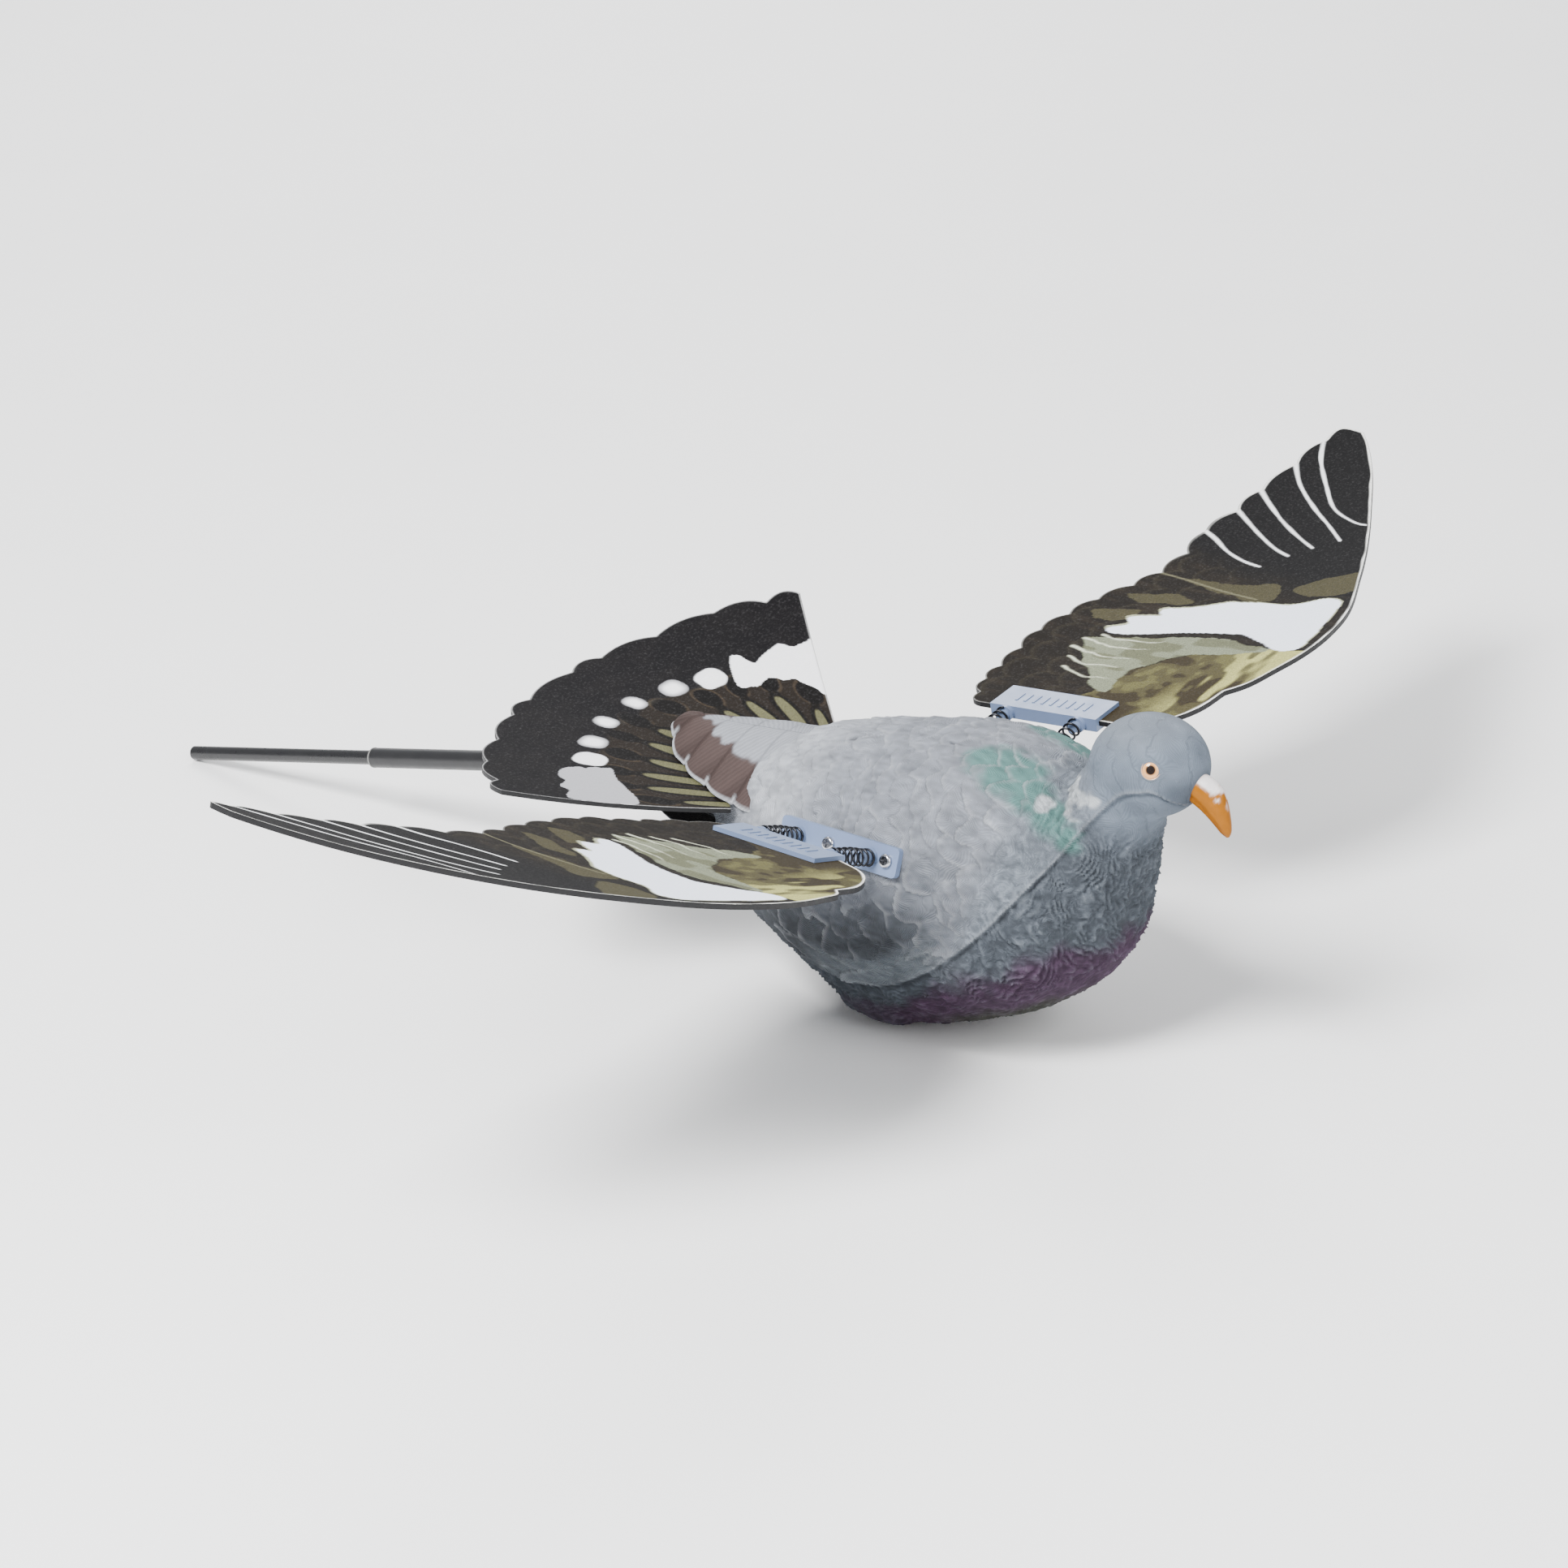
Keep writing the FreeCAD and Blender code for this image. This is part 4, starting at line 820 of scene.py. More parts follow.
def wing_picture(points, edge):
    """Colour and grain of the wing print at (forward, outward) points."""
    forward, outward = points.T
    drift = np.column_stack([lattice_noise(points, 9, 31), lattice_noise(points, 9, 32)]) * 1.6
    drift += np.column_stack([lattice_noise(points, 3.2, 33), lattice_noise(points, 3.2, 34)]) * 0.6
    rough = points + drift
    tint = np.tile(colour("1f1e21"), (len(points), 1))
    brown = smooth(196, 168, outward + 0.25 * forward + 4 * lattice_noise(points, 14, 35))
    tint = paint(tint, "302a24", brown)
    streak = lattice_noise(points * [0.28, 1.0], 3.0, 36)
    tint = paint(tint, "4a4238", brown * np.clip(streak, 0, 1) * 0.7)
    for patch in OLIVE_PATCHES:
        tint = paint(tint, "6a6650", inside_loop(rough, smooth_loop(patch)) * 0.9)
    rims = tongues(-forward + 30, outward, 19.0, 19.0, 15.0)[2]
    tint = paint(tint, "5d584a", brown * rims * smooth(-52, -20, -np.abs(forward + 30)) * 0.35)
    covert = inside_loop(rough, np.array(COVERT_FRONT, float))
    tint = paint(tint, "6f6a4f", covert)
    camo = lattice_noise(points * [0.6, 1.0], 11, 37) + 0.5 * lattice_noise(points, 4.5, 38)
    tint = paint(tint, "4d4435", covert * smooth(0.15, 0.3, camo) * 0.85)
    tint = paint(tint, "8d8a63", covert * smooth(-0.25, -0.45, camo) * 0.7)
    yellow = covert * smooth(26, 60, forward) * smooth(18, 34, outward)
    flame = lattice_noise(points * [1.0, 0.28], 4.0, 39)
    tint = paint(tint, "cfcd92", yellow * smooth(0.05, 0.35, flame + 0.25 * smooth(60, 76, forward)))
    green = inside_loop(rough, smooth_loop(GREEN_PATCH))
    tint = paint(tint, "a3a894", green)
    tint = paint(tint, "7f8068", green * smooth(0.1, 0.35, lattice_noise(points * [0.4, 1], 5, 40)) * 0.7)
    white = inside_loop(points + drift * 0.45, smooth_loop(WHITE_PATCH))
    halo = inside_loop(points + drift * 0.45, smooth_loop(np.array(WHITE_PATCH) * [1.02, 1.0] + [-1.0, 0.9]))
    tint = paint(tint, "c9cbb2", halo)
    tint = paint(tint, "eef2fb", white)
    for finger in FINGERS:
        distance, place = distance_to_line(rough, smooth_loop(finger, closed=False))
        tint = paint(tint, "d9dccb", smooth(1.5, 0.5, distance + 0.9 * place))
    grain = 1.0 - 0.85 * white
    for line in PRIMARY_LINES:
        distance, place = distance_to_line(points, smooth_loop(line, closed=False))
        wide = 0.95 - 0.45 * place + 0.25 * lattice_noise(points, 9, 41)
        stroke = smooth(wide + 0.45, wide - 0.15, distance)
        tint = paint(tint, "f2f3f4", stroke)
        grain = grain * (1 - 0.8 * stroke)
    distance, place = distance_to_line(points, smooth_loop(PALE_LINE, closed=False))
    tint = paint(tint, "98957e", smooth(1.0, 0.3, distance) * 0.8)
    lips = smooth(1.6, 0.8, edge + 0.5 * lattice_noise(points, 12, 42)) * smooth(10, 40, forward + 0.3 * outward)
    tint = paint(tint, "e9e9e6", np.maximum(lips, smooth(0.75, 0.35, edge) * 0.55))
    return tint, grain


CURL = {"right": (0.835, 0.208, -0.283, 1.624), "left": (-1.479, 0.343, -0.223, 2.25)}
FLAP = {"left": math.radians(6.3), "right": math.radians(15.1)}
PITCH = {"left": math.radians(-4.45), "right": 0.0}
SWEEP = math.radians(2.75)
WING_CORE, WING_PRINT_THICK = 2.0, 0.25


def wing_matrix(side):
    """Flapping-axis frame in millimetres: X outward along the side's sign, Z out of the print."""
    sign = SIDES[side]
    place = Vector(JOINTS[side + "_wing_flap"]["pos_m"]) / MM
    turn = (Matrix.Rotation(-sign * FLAP[side], 4, "Y") @ Matrix.Rotation(PITCH[side], 4, "X")
            @ Matrix.Rotation(sign * SWEEP, 4, "Z"))
    return Matrix.Translation(place) @ turn


def bent_wing(side, planar, level):
    """(forward, outward) points and a level in the sheet, bent to the wing's resting curl."""
    sign = SIDES[side]
    along, chord, cross, cubic = CURL[side]
    forward, outward = planar.T
    free = smooth(34, 90, outward)
    far = np.clip(outward / 300, 0, None)
    wide = forward / 60
    lift = 10 * (along * far ** 2 + chord * wide ** 2 + cross * wide * far + cubic * far ** 3) * free
    return np.column_stack([sign * outward, -forward, lift + level])


def wing_stations(loop, inset, count):
    """Outward stations with the sheet's two edges, pulled in by inset."""
    first, last = loop[:, 1].min() + inset, loop[:, 1].max() - inset - 0.25
    share = np.linspace(0, 1, count)
    share = np.where(share > 0.93, 0.93 + 0.07 * np.sin((share - 0.93) / 0.07 * math.pi / 2), share)
    at = first + (last - first) * share
    low = crossing(loop, at, True) + inset
    high = np.maximum(crossing(loop, at, False) - inset, low + 0.4)
    return at, low, high


def build_wing(side):
    loop = wing_loop(side)
    matrix = wing_matrix(side)
    sign = SIDES[side]
    columns, rows = ((150, 430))
    at, low, high = wing_stations(loop, 0.25, rows)
    share = np.linspace(0, 1, columns)
    forward = low[:, None] + (high - low)[:, None] * share[None, :]
    planar = np.column_stack([forward.ravel(), np.repeat(at, columns)])
    top = WING_CORE / 2 + WING_PRINT_THICK
    edge = edge_distance(planar, loop)
    points = bent_wing(side, planar, top)
    points[:, 2] += 0.05 * lattice_noise(planar, 30, 50) * smooth(34, 60, planar[:, 1])
    printed = make_mesh(side + "_wing_print_skin", to_row(points, matrix), grid_faces(rows, columns, flip=sign < 0))
    tint, grain = wing_picture(planar, edge)
    store(printed, "tint", printed_ink(tint))
    store(printed, "grain", grain)
    set_material(printed, WING_PRINT)
    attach(printed, side + "_wing")
    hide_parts(side + "_wing_print")

    rings = []
    at, low, high = wing_stations(loop, 0.0, rows)
    across = 26
    share = (1 - np.cos(np.linspace(0, math.pi, across))) / 2
    over = low[:, None] + (high - low)[:, None] * share[None, :]
    under = over[:, ::-1]
    for station, (upper_row, lower_row) in enumerate(zip(over, under)):
        upper_points = np.column_stack([upper_row, np.full(across, at[station])])
        lower_points = np.column_stack([lower_row, np.full(across, at[station])])
        ring = np.concatenate([bent_wing(side, upper_points, WING_CORE / 2 + 0.1),
                               bent_wing(side, lower_points, -WING_CORE / 2)])
        rings.append(ring)
    count = 2 * across
    faces = grid_faces(rows, count, closed=True, flip=sign < 0)
    ends = [tuple(reversed(range(count))), tuple(range((rows - 1) * count, rows * count))]
    faces += [tuple(reversed(face)) for face in ends] if sign < 0 else ends
    core = make_mesh(side + "_wing_foam", to_row(np.concatenate(rings), matrix), faces, uniform=False)
    set_material(core, BLACK_FOAM)
    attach(core, side + "_wing")
    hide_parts(side + "_wing_core")


# ---------------------------------------------------------------- printed tail fan
FAN_ROOT = (26.0, 62.0)
FAN_CORNER = (112.0, 147.0)
FAN_NOTCHES = [(101.0, 158.0), (85.0, 176.0), (59.2, 189.8), (33.0, 201.5), (15.7, 205.2)]
FAN_LOBE = 4.0
FAN_DISH = 330.0
FAN_CORE, FAN_PRINT = 1.8, 0.25
FAN_PIVOT = Vector((0, 54.0, 76.3))
FAN_HINGE_Y = -6.0
FAN_YAW, FAN_ROLL, FAN_TILT = math.radians(4.1), math.radians(-4.4), math.radians(6.9)
FAN_MATRIX = (Matrix.Translation(FAN_PIVOT) @ Matrix.Rotation(FAN_YAW, 4, "Z") @ Matrix.Rotation(FAN_ROLL, 4, "Y")
              @ Matrix.Translation((0, FAN_HINGE_Y - FAN_PIVOT.y, 0)) @ Matrix.Rotation(FAN_TILT, 4, "X"))
FAN_APEX, FAN_START = 36.3, 58.0


def fan_rim():
    """The fan's outer edge from its right corner to its left one."""
    marks = [FAN_CORNER] + FAN_NOTCHES
    marks = marks + [(-x, y) for x, y in reversed(marks)]
    pieces = [arc_points(start, end, FAN_LOBE, 16) for start, end in zip(marks, marks[1:])]
    return np.concatenate(pieces + [np.array([marks[-1]], float)])


def fan_radius(angle, rim):
    """Reach of the rim from the fan's apex in each direction."""
    turn = np.arctan2(rim[:, 0], rim[:, 1] - FAN_APEX)
    reach = np.hypot(rim[:, 0], rim[:, 1] - FAN_APEX)
    order = np.argsort(turn)
    return np.interp(angle, turn[order], reach[order])


def dish(points, level):
    x, y = points.T
    return np.column_stack([x, y, FAN_DISH - np.sqrt((FAN_DISH - level) ** 2 - x ** 2)])


OVALS = [(-11.0, 166.2, 4.6, 6.2), (11.0, 166.2, 4.6, 6.2), (-30.2, 159.3, 6.0, 6.4), (30.2, 159.3, 6.0, 6.4),
         (-45.4, 149.3, 6.8, 7.4), (45.4, 149.3, 6.8, 7.4)]
FAN_PATCH = {-1: [(62.8, 151.7), (71.2, 147.2), (73, 142.4), (80.4, 139.6), (81.9, 133.3), (89, 129), (84, 119.5),
                  (75, 111), (66, 108), (53.5, 129), (46, 138), (54, 145)],
             1: [(61, 150), (47.4, 135.7), (51.8, 128.7), (58.4, 126.6), (63.6, 115.2), (64, 106.4), (63.5, 98.3),
                 (89.5, 123), (82.5, 128.6), (80.7, 136.5), (76.9, 138.2), (70.2, 139.5), (65.4, 139.2),
                 (65.2, 143.6), (65.9, 148.8)]}


def tail_picture(points, angle, reach, edge):
    """Colour and grain of the fan's print, from places in its plane and about its apex."""
    x, y = points.T
    tint = np.tile(colour("252327"), (len(points), 1))
    speck = lattice_noise(points, 7, 60)
    tint = paint(tint, "322f30", np.clip(0.5 + speck, 0, 1) * 0.4)
    inner = 124 - 16 * (np.abs(angle) / 0.63) ** 1.8 + 3 * lattice_noise(points, 10, 61)
    zone = smooth(1.5, -1.5, reach - inner)
    tint = paint(tint, "3a332d", zone)
    spokes = angle / math.radians(8.2) + 0.14 * lattice_noise(points, 24, 62)
    number = np.round(spokes)
    strip = np.abs(spokes - number)
    vary = lattice_noise(np.column_stack([number, number * 0]), 0.7, 63)
    spread = (np.abs(angle) / 0.63) ** 1.8
    outer = 108 - 20 * spread + 5 * vary
    along = (reach - outer + 22) / 22
    spindle = 0.26 * np.sqrt(np.clip(1 - np.clip(along, -0.4, 1) ** 2, 0, 1))
    khaki = smooth(0.04, -0.03, strip - spindle) * smooth(1.0, 0.9, along)
    tint = paint(tint, "86856a", khaki)
    pod = np.hypot(strip * reach * 0.143 / 4.6, (reach - outer - 12) / 8.5)
    tint = paint(tint, "1b181a", smooth(1.05, 0.9, pod) * 0.9)
    tint = paint(tint, "6a5e4f", smooth(0.16, 0.04, np.abs(pod - 1.1)) * 0.5 * np.clip(0.7 + speck, 0, 1))
    dark = smooth(0.12, 0.04, np.abs(strip - spindle - 0.07)) * smooth(118, 112, reach)
    tint = paint(tint, "1d1a19", dark * 0.9)
    crown = smooth(3, 0.5, np.abs(reach - inner - 1)) * np.clip(0.5 + speck, 0, 1)
    tint = paint(tint, "6b675c", crown * 0.35)
    grain = np.ones(len(points))
    wobble = 0.10 * lattice_noise(points, 5, 64)
    for cx, cy, rx, ry in OVALS:
        ux, uy = np.array([cx, cy - FAN_APEX]) / math.hypot(cx, cy - FAN_APEX)
        radial = (x - cx) * ux + (y - cy) * uy
        across = -(x - cx) * uy + (y - cy) * ux
        distance = (np.abs(across / rx) ** 2.6 + np.abs(radial / ry) ** 2.6) ** (1 / 2.6) + wobble
        inside = smooth(1.04, 0.94, distance)
        tone = mix(np.tile(colour("f6f6f8"), (len(points), 1)), colour("a6a6aa"),
                   smooth(0.35, 1.0, distance) * (0.75 if abs(cx) < 40 else 0.1))
        tint = tint * (1 - inside[:, None]) + tone * inside[:, None]
        grain = grain * (1 - 0.8 * inside)
    for sign in (-1, 1):
        loop = smooth_loop(np.array(FAN_PATCH[sign]) * [sign, 1.0], count=4)
        inside = inside_loop(points + lattice_noise(points, 4, 65)[:, None] * 0.8, loop).astype(float)
        # Painted shade: the patch on the bird's right (-x) is painted grey, the one on the left white.
        tint = mix(tint, colour("f4f4f6") if sign > 0 else colour("c6c6ca"), inside)
        grain = grain * (1 - 0.8 * inside)
    rim_line = smooth(0.9, 0.4, edge)
    tint = paint(tint, "dedede", rim_line * 0.8)
    return tint, grain


def build_tail():
    rim = fan_rim()
    limit = math.atan2(FAN_CORNER[0], FAN_CORNER[1] - FAN_APEX)
    columns, rows = ((360, 190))
    outline = np.concatenate([[(FAN_ROOT[0], FAN_ROOT[1])], rim, [(-FAN_ROOT[0], FAN_ROOT[1])]])

    def fan_grid(columns, rows, shrink):
        angle = np.linspace(-limit + shrink / 150, limit - shrink / 150, columns)
        outer = fan_radius(angle, rim) - shrink
        share = np.linspace(0, 1, rows)[:, None]
        reach = FAN_START + (outer[None, :] - FAN_START) * share
        angles = np.repeat(angle[None, :], rows, axis=0)
        planar = np.column_stack([(reach * np.sin(angles)).ravel(), (FAN_APEX + reach * np.cos(angles)).ravel()])
        return planar, angles.ravel(), reach.ravel()

    planar, angle, reach = fan_grid(columns, rows, 0.25)
    edge = edge_distance(planar, outline)
    points = dish(planar, FAN_CORE / 2 + FAN_PRINT)
    printed = make_mesh("tail_print_skin", to_row(points, FAN_MATRIX), grid_faces(rows, columns, flip=True))
    tint, grain = tail_picture(planar, angle, reach, edge)
    store(printed, "tint", printed_ink(tint))
    store(printed, "grain", grain)
    set_material(printed, TAIL_PRINT)
    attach(printed, "body")
    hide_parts("tail_print")

    planar, _, _ = fan_grid(columns, 24, 0.0)
    over = dish(planar, FAN_CORE / 2 + 0.1).reshape(24, columns, 3)
    under = dish(planar, -FAN_CORE / 2).reshape(24, columns, 3)
    rings = np.concatenate([over, under[::-1]])
    faces = grid_faces(48, columns, flip=True)
    last = 47 * columns
    faces += [(last + c, last + c + 1, c + 1, c) for c in range(columns - 1)]
    for edge_column, turn in ((0, False), (columns - 1, True)):
        strip = [row * columns + edge_column for row in range(48)]
        for row in range(23):
            quad = (strip[row], strip[row + 1], strip[46 - row], strip[47 - row])
            faces.append(tuple(reversed(quad)) if turn else quad)
    core = make_mesh("tail_foam", to_row(rings.reshape(-1, 3), FAN_MATRIX), faces, uniform=False)
    set_material(core, BLACK_FOAM)
    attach(core, "body")
    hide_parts("tail_core")


# ---------------------------------------------------------------- feather tips over the tail root
# Corners between the feather ends on one side of the pad, from its front to its blunt tip.
STUB_NOTCHES = [(37.0, 64.0), (37.5, 78.0), (31.0, 97.0), (21.0, 115.0), (8.5, 130.5)]
STUB_TIP = (0.0, 136.5)
STUB_LOBE = 2.6


def build_stub():
    """The moulded feather ends over the tail's root: one domed pad with a scalloped margin."""
    marks = STUB_NOTCHES + [(-x, y) for x, y in reversed(STUB_NOTCHES)]
    steps = 16
    rim, lobe_place = [], []
    for start, end in zip(marks, marks[1:]):
        swell = STUB_LOBE if start[0] * end[0] > 0 else STUB_TIP[1] - STUB_NOTCHES[-1][1]
        rim.append(arc_points(start, end, swell, steps))
        lobe_place.append(np.linspace(0, 1, steps, endpoint=False))
    rim = np.concatenate(rim + [np.array([marks[-1]], float)])
    lobe_place = np.concatenate(lobe_place + [[1.0]])
    on_left = rim[:, 0] < 0
    lobe_place = np.where(on_left, 1 - lobe_place, lobe_place)
    spine = np.column_stack([np.zeros(len(rim)), 64 + (rim[:, 1] - 64) * 0.86])
    rows = 40
    share = np.linspace(0, 1, rows)[:, None, None]
    planar = (rim[None] * (1 - share) + spine[None] * share).reshape(-1, 2)
    inward = (np.linalg.norm(rim - spine, axis=1)[None] * share[:, :, 0]).ravel()
    place = np.tile(lobe_place, rows) + 0.030 * inward
    crown = (12 + 0.20 * (125 - spine[:, 1]))[None] * np.sin(share[:, :, 0] * math.pi / 2) ** 1.1
    root = 0.5 + 5.0 * smooth(122, 137, rim[:, 1])[None] * (1 - share[:, :, 0])
    lift = (crown + root).ravel() + 0.9 * (1 - np.clip(place, 0, 1)) * smooth(20, 10, inward) * smooth(0, 3, inward)
    lift = lift - 0.8 * smooth(0.14, 0.0, np.abs(place - 0.04)) * smooth(20, 12, inward)
    points = dish(planar, FAN_CORE / 2 + FAN_PRINT)
    points[:, 2] += lift
    skin = make_mesh("stub_feathers", to_row(points, FAN_MATRIX), grid_faces(rows, len(rim), flip=True))
    depth = 15.5 + 3.0 * np.sin(np.clip(place, 0, 1) * math.pi)
    brown = smooth(depth + 1.5, depth - 1.5, inward + 3 * lattice_noise(planar, 4, 66))
    tint = np.tile(colour("b9bdc6"), (len(points), 1))
    tint = paint(tint, "62524f", brown)
    tint = paint(tint, "463a38", brown * smooth(0.35, 0.05, np.abs(place - 0.25)) * 0.5)
    border = np.maximum(smooth(1.2, 0.8, inward), smooth(0.10, 0.05, np.abs(place - 0.07)) * smooth(21, 17, inward))
    tint = paint(tint, "d3d6dc", border)
    store(skin, "tint", deepen(tint, 0.95, PAINT_LEVEL))
    store(skin, "barb", place * 8)
    store(skin, "fine", np.full(len(points), 0.7))
    set_material(skin, FEATHER)
    thick = skin.modifiers.new("thick", "SOLIDIFY")
    thick.thickness = 0.9 * MM
    thick.offset = -1
    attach(skin, "body")


FOLDED_TIPS = [(0.0, 12.0, 0.0), (5.5, 5.0, -1.4), (10.5, -3.0, -2.8)]


def build_folded_tips(side):
    """Dark ends of the folded flight feathers, showing under the edge of the fan."""
    sign = SIDES[side]
    for number, (inset, reach, drop) in enumerate(FOLDED_TIPS):
        rows, columns = 30, 14
        down = np.linspace(0, 1, rows)[:, None]
        side_way = np.linspace(-1, 1, columns)[None, :]
        half = 7.0 * np.sqrt(np.clip(1 - np.clip((down - 0.55) / 0.45, 0, 1) ** 2.2, 0, 1))
        x = sign * (38.0 - inset * 0.7 + side_way * half * 0.55 - down * 4)
        y = 52.0 + down * (52.0 + reach) + side_way * half * 0.2
        z = 66.0 + down * 7.5 + drop + side_way * half * -0.55
        points = np.column_stack([x.ravel(), y.ravel(), z.ravel()])
        faces = grid_faces(rows, columns, flip=sign > 0)
        skin = make_mesh("%s_folded_tip_%d" % (side, number + 1), points * MM, faces)
        across = np.tile(np.abs(side_way), (rows, 1)).ravel()
        tint = mix(np.tile(colour("0d0c0d"), (len(points), 1)), colour("77797c"), smooth(0.84, 0.93, across) * 0.8)
        store(skin, "tint", tint)
        store(skin, "barb", (y - side_way * half).ravel())
        store(skin, "fine", np.full(len(points), 0.5))
        set_material(skin, FEATHER)
        thick = skin.modifiers.new("thick", "SOLIDIFY")
        thick.thickness = 0.8 * MM
        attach(skin, "body")


# ---------------------------------------------------------------- head details
def lathe(profile, count=48):
    """A turned form about local Z from (radius, height) pairs, millimetres."""
    angle = np.linspace(0, 2 * math.pi, count, endpoint=False)
    rings = [np.column_stack([radius * np.cos(angle), radius * np.sin(angle), np.full(count, height)])
             for radius, height in profile]
    return np.concatenate(rings), grid_faces(len(rings), count, closed=True)


def build_eye(side):
    sign = SIDES[side]
    low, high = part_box(side + "_eye")
    centre = (low + high) / 2 / MM
    normal = Vector((sign * 0.83, -0.42, 0.37)).normalized()
    turn = normal.to_track_quat("Z", "Y").to_matrix().to_4x4()
    matrix = Matrix.Translation(centre - normal * 0.3) @ turn
    profile = [(4.9, -1.6), (4.8, 0.3), (4.5, 0.95), (4.15, 1.2), (3.8, 1.15), (3.62, 0.95), (3.55, 0.9)]
    profile += [(3.5 * math.cos(a), 0.95 + 1.15 * math.sin(a)) for a in np.linspace(0.1, 1.55, 16)]
    points, faces = lathe(profile)
    radius = np.hypot(points[:, 0], points[:, 1])
    eye = make_mesh(side + "_eye_ball", to_row(points, matrix), faces)
    tint = np.tile(colour("d99f66"), (len(points), 1))
    tint = paint(tint, "160b07", smooth(2.15, 1.85, radius))
    tint = paint(tint, "c98f5c", smooth(0.35, 0.0, np.abs(radius - 2.3)) * 0.7)
    tint = paint(tint, "d8a77c", smooth(3.3, 3.6, radius) * smooth(4.4, 3.9, radius))
    tint = paint(tint, "5d6671", smooth(3.7, 4.0, radius))
    store(eye, "tint", tint)
    set_material(eye, EYE_PAINT)
    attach(eye, "body")
    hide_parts(side + "_eye")


BILL_AXIS = [(-141.0, 40.0, 5.0, 5.2), (-148.0, 36.0, 5.7, 6.5), (-152.4, 32.2, 5.5, 6.6), (-155.6, 27.4, 4.8, 5.7),
             (-157.8, 21.8, 3.6, 4.3), (-159.0, 16.6, 2.1, 2.6), (-159.2, 14.0, 0.6, 0.8)]


def build_bill():
    """Hooked bill: swollen white cere on top, a mouth line along the side, orange below."""
    axis = smooth_loop([(y, z) for y, z, _, _ in BILL_AXIS], closed=False, count=8)
    sizes = smooth_loop([(w, d) for _, _, w, d in BILL_AXIS], closed=False, count=8)
    directions = np.gradient(axis, axis=0)
    directions /= np.hypot(*directions.T)[:, None]
    count = 48
    angle = np.linspace(0, 2 * math.pi, count, endpoint=False)
    points, tints = [], []
    for number, ((y, z), (wide, deep), (dy, dz)) in enumerate(zip(axis, sizes, directions)):
        share = number / (len(axis) - 1)
        up = np.array([0, -dz, dy]) if dy < 0 else np.array([0, dz, -dy])
        if up[2] < 0:
            up = -up
        mouth = np.exp(-((np.sin(angle) + 0.25) / 0.10) ** 2) * (1 - share) * 0.45
        cere = np.exp(-((share - 0.40) / 0.17) ** 2) * np.clip(np.sin(angle), 0, 1) * 1.7
        shape = 1 - mouth / max(wide, 1)
        ring = (np.array([0, y, z]) + np.outer(np.cos(angle) * wide * shape, [1, 0, 0])
                + np.outer(np.sin(angle) * deep * shape + cere, up))
        points.append(ring)
        tint = np.tile(colour("8b5300"), (count, 1))
        tint = paint(tint, "653203", np.exp(-((np.sin(angle) + 0.25) / 0.16) ** 2) * (1 - share) * 0.8)
        tint = paint(tint, "6e3a00", smooth(0.3, -0.7, np.sin(angle)) * smooth(0.45, 0.95, share) * 0.8)
        ragged = 0.12 * lattice_noise(ring, 1.8, 70)
        white = (smooth(0.55, 0.75, np.sin(angle) + ragged) * smooth(0.52, 0.44, share + ragged)
                 * smooth(0.14, 0.24, share))
        tint = paint(tint, "cfcaca", white)
        tints.append(tint)
    faces = grid_faces(len(points), count, closed=True)
    bill = make_mesh("bill", to_row(np.concatenate(points), BODY_MATRIX), faces)
    store(bill, "tint", np.concatenate(tints))
    set_material(bill, BILL_PAINT)
    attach(bill, "body")


# ---------------------------------------------------------------- springs
PLATE_LEAN = math.radians(19.0)
COIL_RADIUS, WIRE_RADIUS, COIL_TURNS = 3.55, 0.52, 7.0
COIL_STEPS, WIRE_SIDES = 32, 10
SPRING_HALF_PITCH = 19.0
PLATE_SKIN, PLATE_SHIFT = 1.4, 2.0
CLIP_SHIFT, CLIP_INSET = 4.5, 2.8


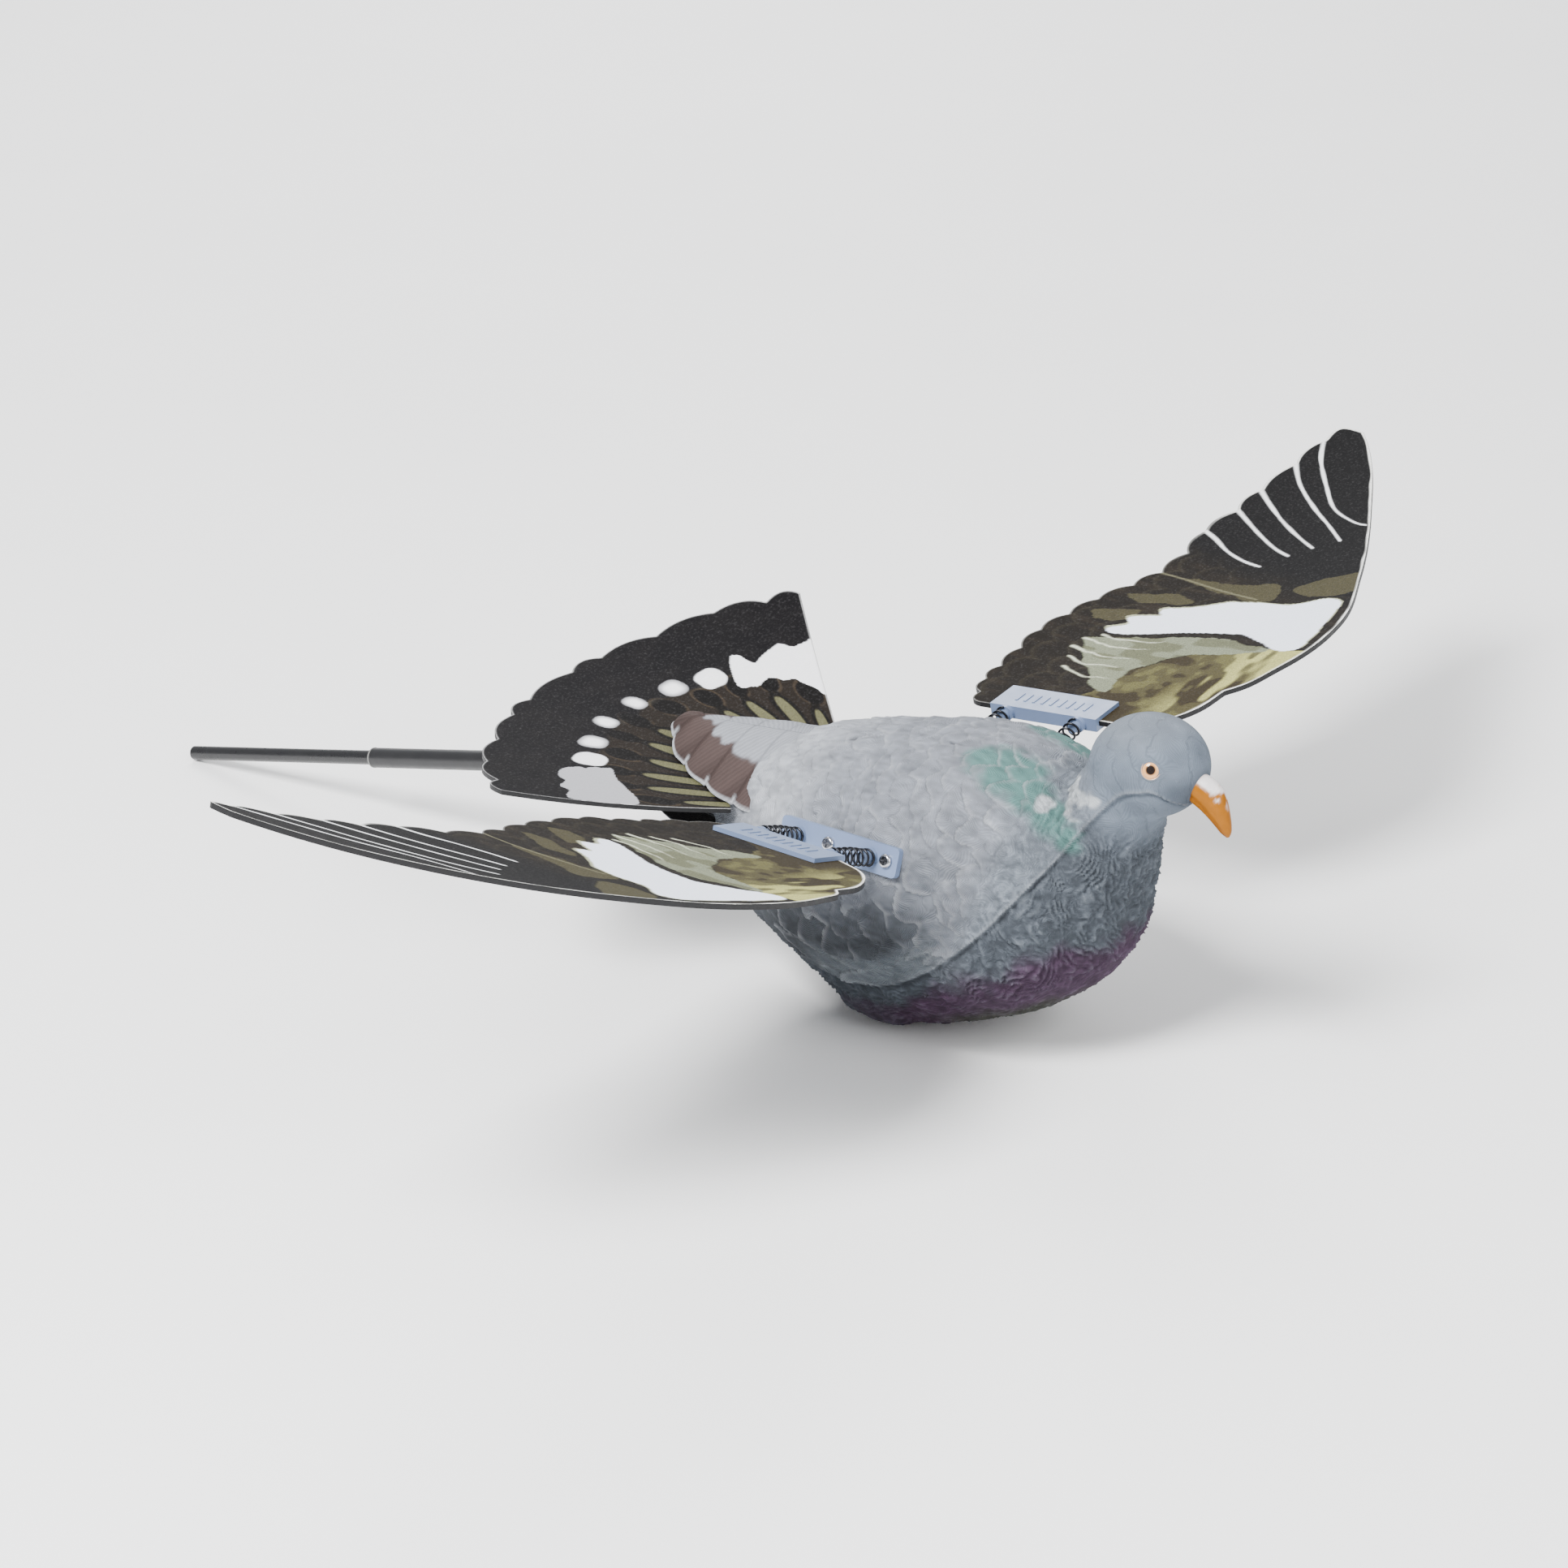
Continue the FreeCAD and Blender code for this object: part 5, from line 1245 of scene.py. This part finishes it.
def build_spring(side, place):
    """A closed coil spring whose ends hook on the plate and the clip."""
    sign = SIDES[side]
    step = {"front": -1, "rear": 1}[place]
    plate = Matrix.Rotation(-sign * PLATE_LEAN, 4, "Y")
    plate_low, plate_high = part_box(side + "_plate")
    plate_middle = (plate_low + plate_high) / 2 / MM
    start_aim = plate.to_3x3() @ Vector((sign, 0, 0))
    start = plate_middle + start_aim * PLATE_SKIN
    start.y += PLATE_SHIFT + step * SPRING_HALF_PITCH
    wing = wing_matrix(side)
    end = wing @ Vector((sign * (CLIP_INNER[side] - CLIP_INSET), CLIP_SHIFT + step * SPRING_HALF_PITCH, 0))
    end_aim = wing.to_3x3() @ Vector((sign, 0, 0))
    pull = (end - start).length / 3
    knots = [np.array(v) for v in (start, start + start_aim * pull, end - end_aim * pull, end)]
    total = int(COIL_TURNS * COIL_STEPS)
    share = np.linspace(0, 1, total)[:, None]
    centre = (knots[0] * (1 - share) ** 3 + 3 * knots[1] * share * (1 - share) ** 2
              + 3 * knots[2] * share ** 2 * (1 - share) + knots[3] * share ** 3)
    aim = unit(np.gradient(centre, axis=0))
    across = unit(np.cross(aim, [0, 1, 0]))
    along = np.cross(aim, across)
    angle = 2 * math.pi * COIL_TURNS * share
    tight = COIL_RADIUS * (1 - 0.05 * np.sin(3 * math.pi * share))
    path = centre + across * tight * np.cos(angle) + along * tight * np.sin(angle)
    tangent = unit(np.gradient(path, axis=0))
    side_way = unit(np.cross(tangent, aim))
    third = np.cross(tangent, side_way)
    ring = np.linspace(0, 2 * math.pi, WIRE_SIDES, endpoint=False)
    points = (path[:, None, :] + WIRE_RADIUS * (side_way[:, None, :] * np.cos(ring)[None, :, None]
                                                + third[:, None, :] * np.sin(ring)[None, :, None]))
    faces = grid_faces(total, WIRE_SIDES, closed=True, flip=True)
    faces += [tuple(range(WIRE_SIDES)), tuple(reversed(range((total - 1) * WIRE_SIDES, total * WIRE_SIDES)))]
    coil = make_mesh("%s_%s_coil" % (side, place), points.reshape(-1, 3) * MM, faces)
    set_material(coil, SPRING_WIRE)
    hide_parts("%s_spring_%s" % (side, place))
    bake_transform(coil)


# ---------------------------------------------------------------- carried CAD nodes
def soften_edges(name, width, material):
    obj = frame["nodes"][name]
    bevel = obj.modifiers.new("edges", "BEVEL")
    bevel.width = width * MM
    bevel.segments = 3
    bevel.limit_method = "ANGLE"
    bevel.angle_limit = math.radians(38)
    bevel.harden_normals = True
    set_material(obj, material)


SLEEVE_RADIUS = 4.75


def build_tube_mouth():
    """The pale cut end of the sleeve round the rod."""
    low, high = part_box("rod_sleeve")
    rod_low, rod_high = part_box("rod")
    slope = Vector(JOINTS["rod_pull"]["axis"]).normalized()
    mouth = Vector((0, high.y / MM - SLEEVE_RADIUS * abs(slope.z), low.z / MM + SLEEVE_RADIUS * slope.y))
    profile = [(3.5, -0.5), (3.5, 0.12), (3.9, 0.35), (4.5, 0.35), (4.85, 0.1), (4.85, -0.9)]
    points, faces = lathe(profile)
    matrix = Matrix.Translation(mouth) @ slope.to_track_quat("Z", "Y").to_matrix().to_4x4()
    ring = make_mesh("sleeve_mouth", to_row(points, matrix), faces)
    set_material(ring, PALE_RING)
    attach(ring, "body")


# ---------------------------------------------------------------- camera, floor and lights
CAMERA_TARGET = Vector((0, 0.0727, 0.0814))
CAMERA_BACK = 2.0589
AZIMUTH, ELEVATION, ROLL = math.radians(-50.54), math.radians(23.17), math.radians(1.32)
# Focal length as a share of the picture's width.
FOCAL_SHARE = 5795.9 / 1932
SENSOR = 36.0
WORLD_TINT, WORLD_STRENGTH = (0.96, 0.975, 1.0, 1), 0.62
LAMPS = (("key", (-1.6, 0.1, 2.0), 0.9, 150.0), ("fill", (-0.4, -2.3, 1.5), 1.8, 55.0),
         ("rim", (1.6, 1.6, 1.6), 1.4, 60.0))
LAMP_TARGET = Vector((0, 0, 0.08))
FLOOR_ROWS, FLOOR_REACH = 40, 4.0


def build_stage():
    back = Vector((math.sin(AZIMUTH) * math.cos(ELEVATION), -math.cos(AZIMUTH) * math.cos(ELEVATION),
                   math.sin(ELEVATION)))
    camera = bpy.data.objects.new("camera", bpy.data.cameras.new("camera"))
    bpy.context.collection.objects.link(camera)
    camera.data.sensor_width = SENSOR
    camera.data.lens = SENSOR * FOCAL_SHARE
    camera.data.clip_end = 20.0
    place = CAMERA_TARGET + back * CAMERA_BACK
    turn = back.to_track_quat("Z", "Y").to_matrix().to_4x4() @ Matrix.Rotation(-ROLL, 4, "Z")
    camera.matrix_world = Matrix.Translation(place) @ turn
    bpy.context.scene.camera = camera

    spots = np.linspace(-FLOOR_REACH, FLOOR_REACH, FLOOR_ROWS)
    points = np.array([(x, y, 0.0) for x in spots for y in spots])
    floor = make_mesh("floor", points, grid_faces(FLOOR_ROWS, FLOOR_ROWS, flip=True))
    set_material(floor, plain_material("floor_paper", colour("fafafa"), 0.85, specular=0.1, grain=60,
                                       depth=0.02, spread=0.01))

    world = bpy.data.worlds.new("studio")
    bpy.context.scene.world = world
    world.use_nodes = True
    world.node_tree.nodes["Background"].inputs["Color"].default_value = WORLD_TINT
    world.node_tree.nodes["Background"].inputs["Strength"].default_value = WORLD_STRENGTH

    for name, spot, size, power in LAMPS:
        lamp = bpy.data.lights.new(name, "AREA")
        lamp.size = size
        lamp.energy = power
        holder = bpy.data.objects.new(name, lamp)
        bpy.context.collection.objects.link(holder)
        aim = Vector(spot) - LAMP_TARGET
        holder.matrix_world = Matrix.Translation(spot) @ aim.to_track_quat("Z", "Y").to_matrix().to_4x4()


# ---------------------------------------------------------------- assembly
build_stage()
split_body()
build_stub()
build_bill()
build_tail()
build_tube_mouth()
for wing_side in SIDES:
    build_eye(wing_side)
    build_wing(wing_side)
    build_folded_tips(wing_side)
    for spring_place in ("front", "rear"):
        build_spring(wing_side, spring_place)
    for part, width in (("_clip_upper", 0.3), ("_clip_lower", 0.3), ("_plate", 0.5)):
        soften_edges(wing_side + part, width, CLIP_PLASTIC)
    soften_edges(wing_side + "_plate_screws", 0.12, SCREW_METAL)
soften_edges("rod", 0.3, BLACK_ROD)
soften_edges("rod_sleeve", 0.3, BLACK_TUBE)
soften_edges("rod_socket", 0.3, BLACK_TUBE)
soften_edges("tail_clamp_pads", 0.4, CLIP_PLASTIC)
soften_edges("tail_clamp_screws", 0.12, SCREW_METAL)
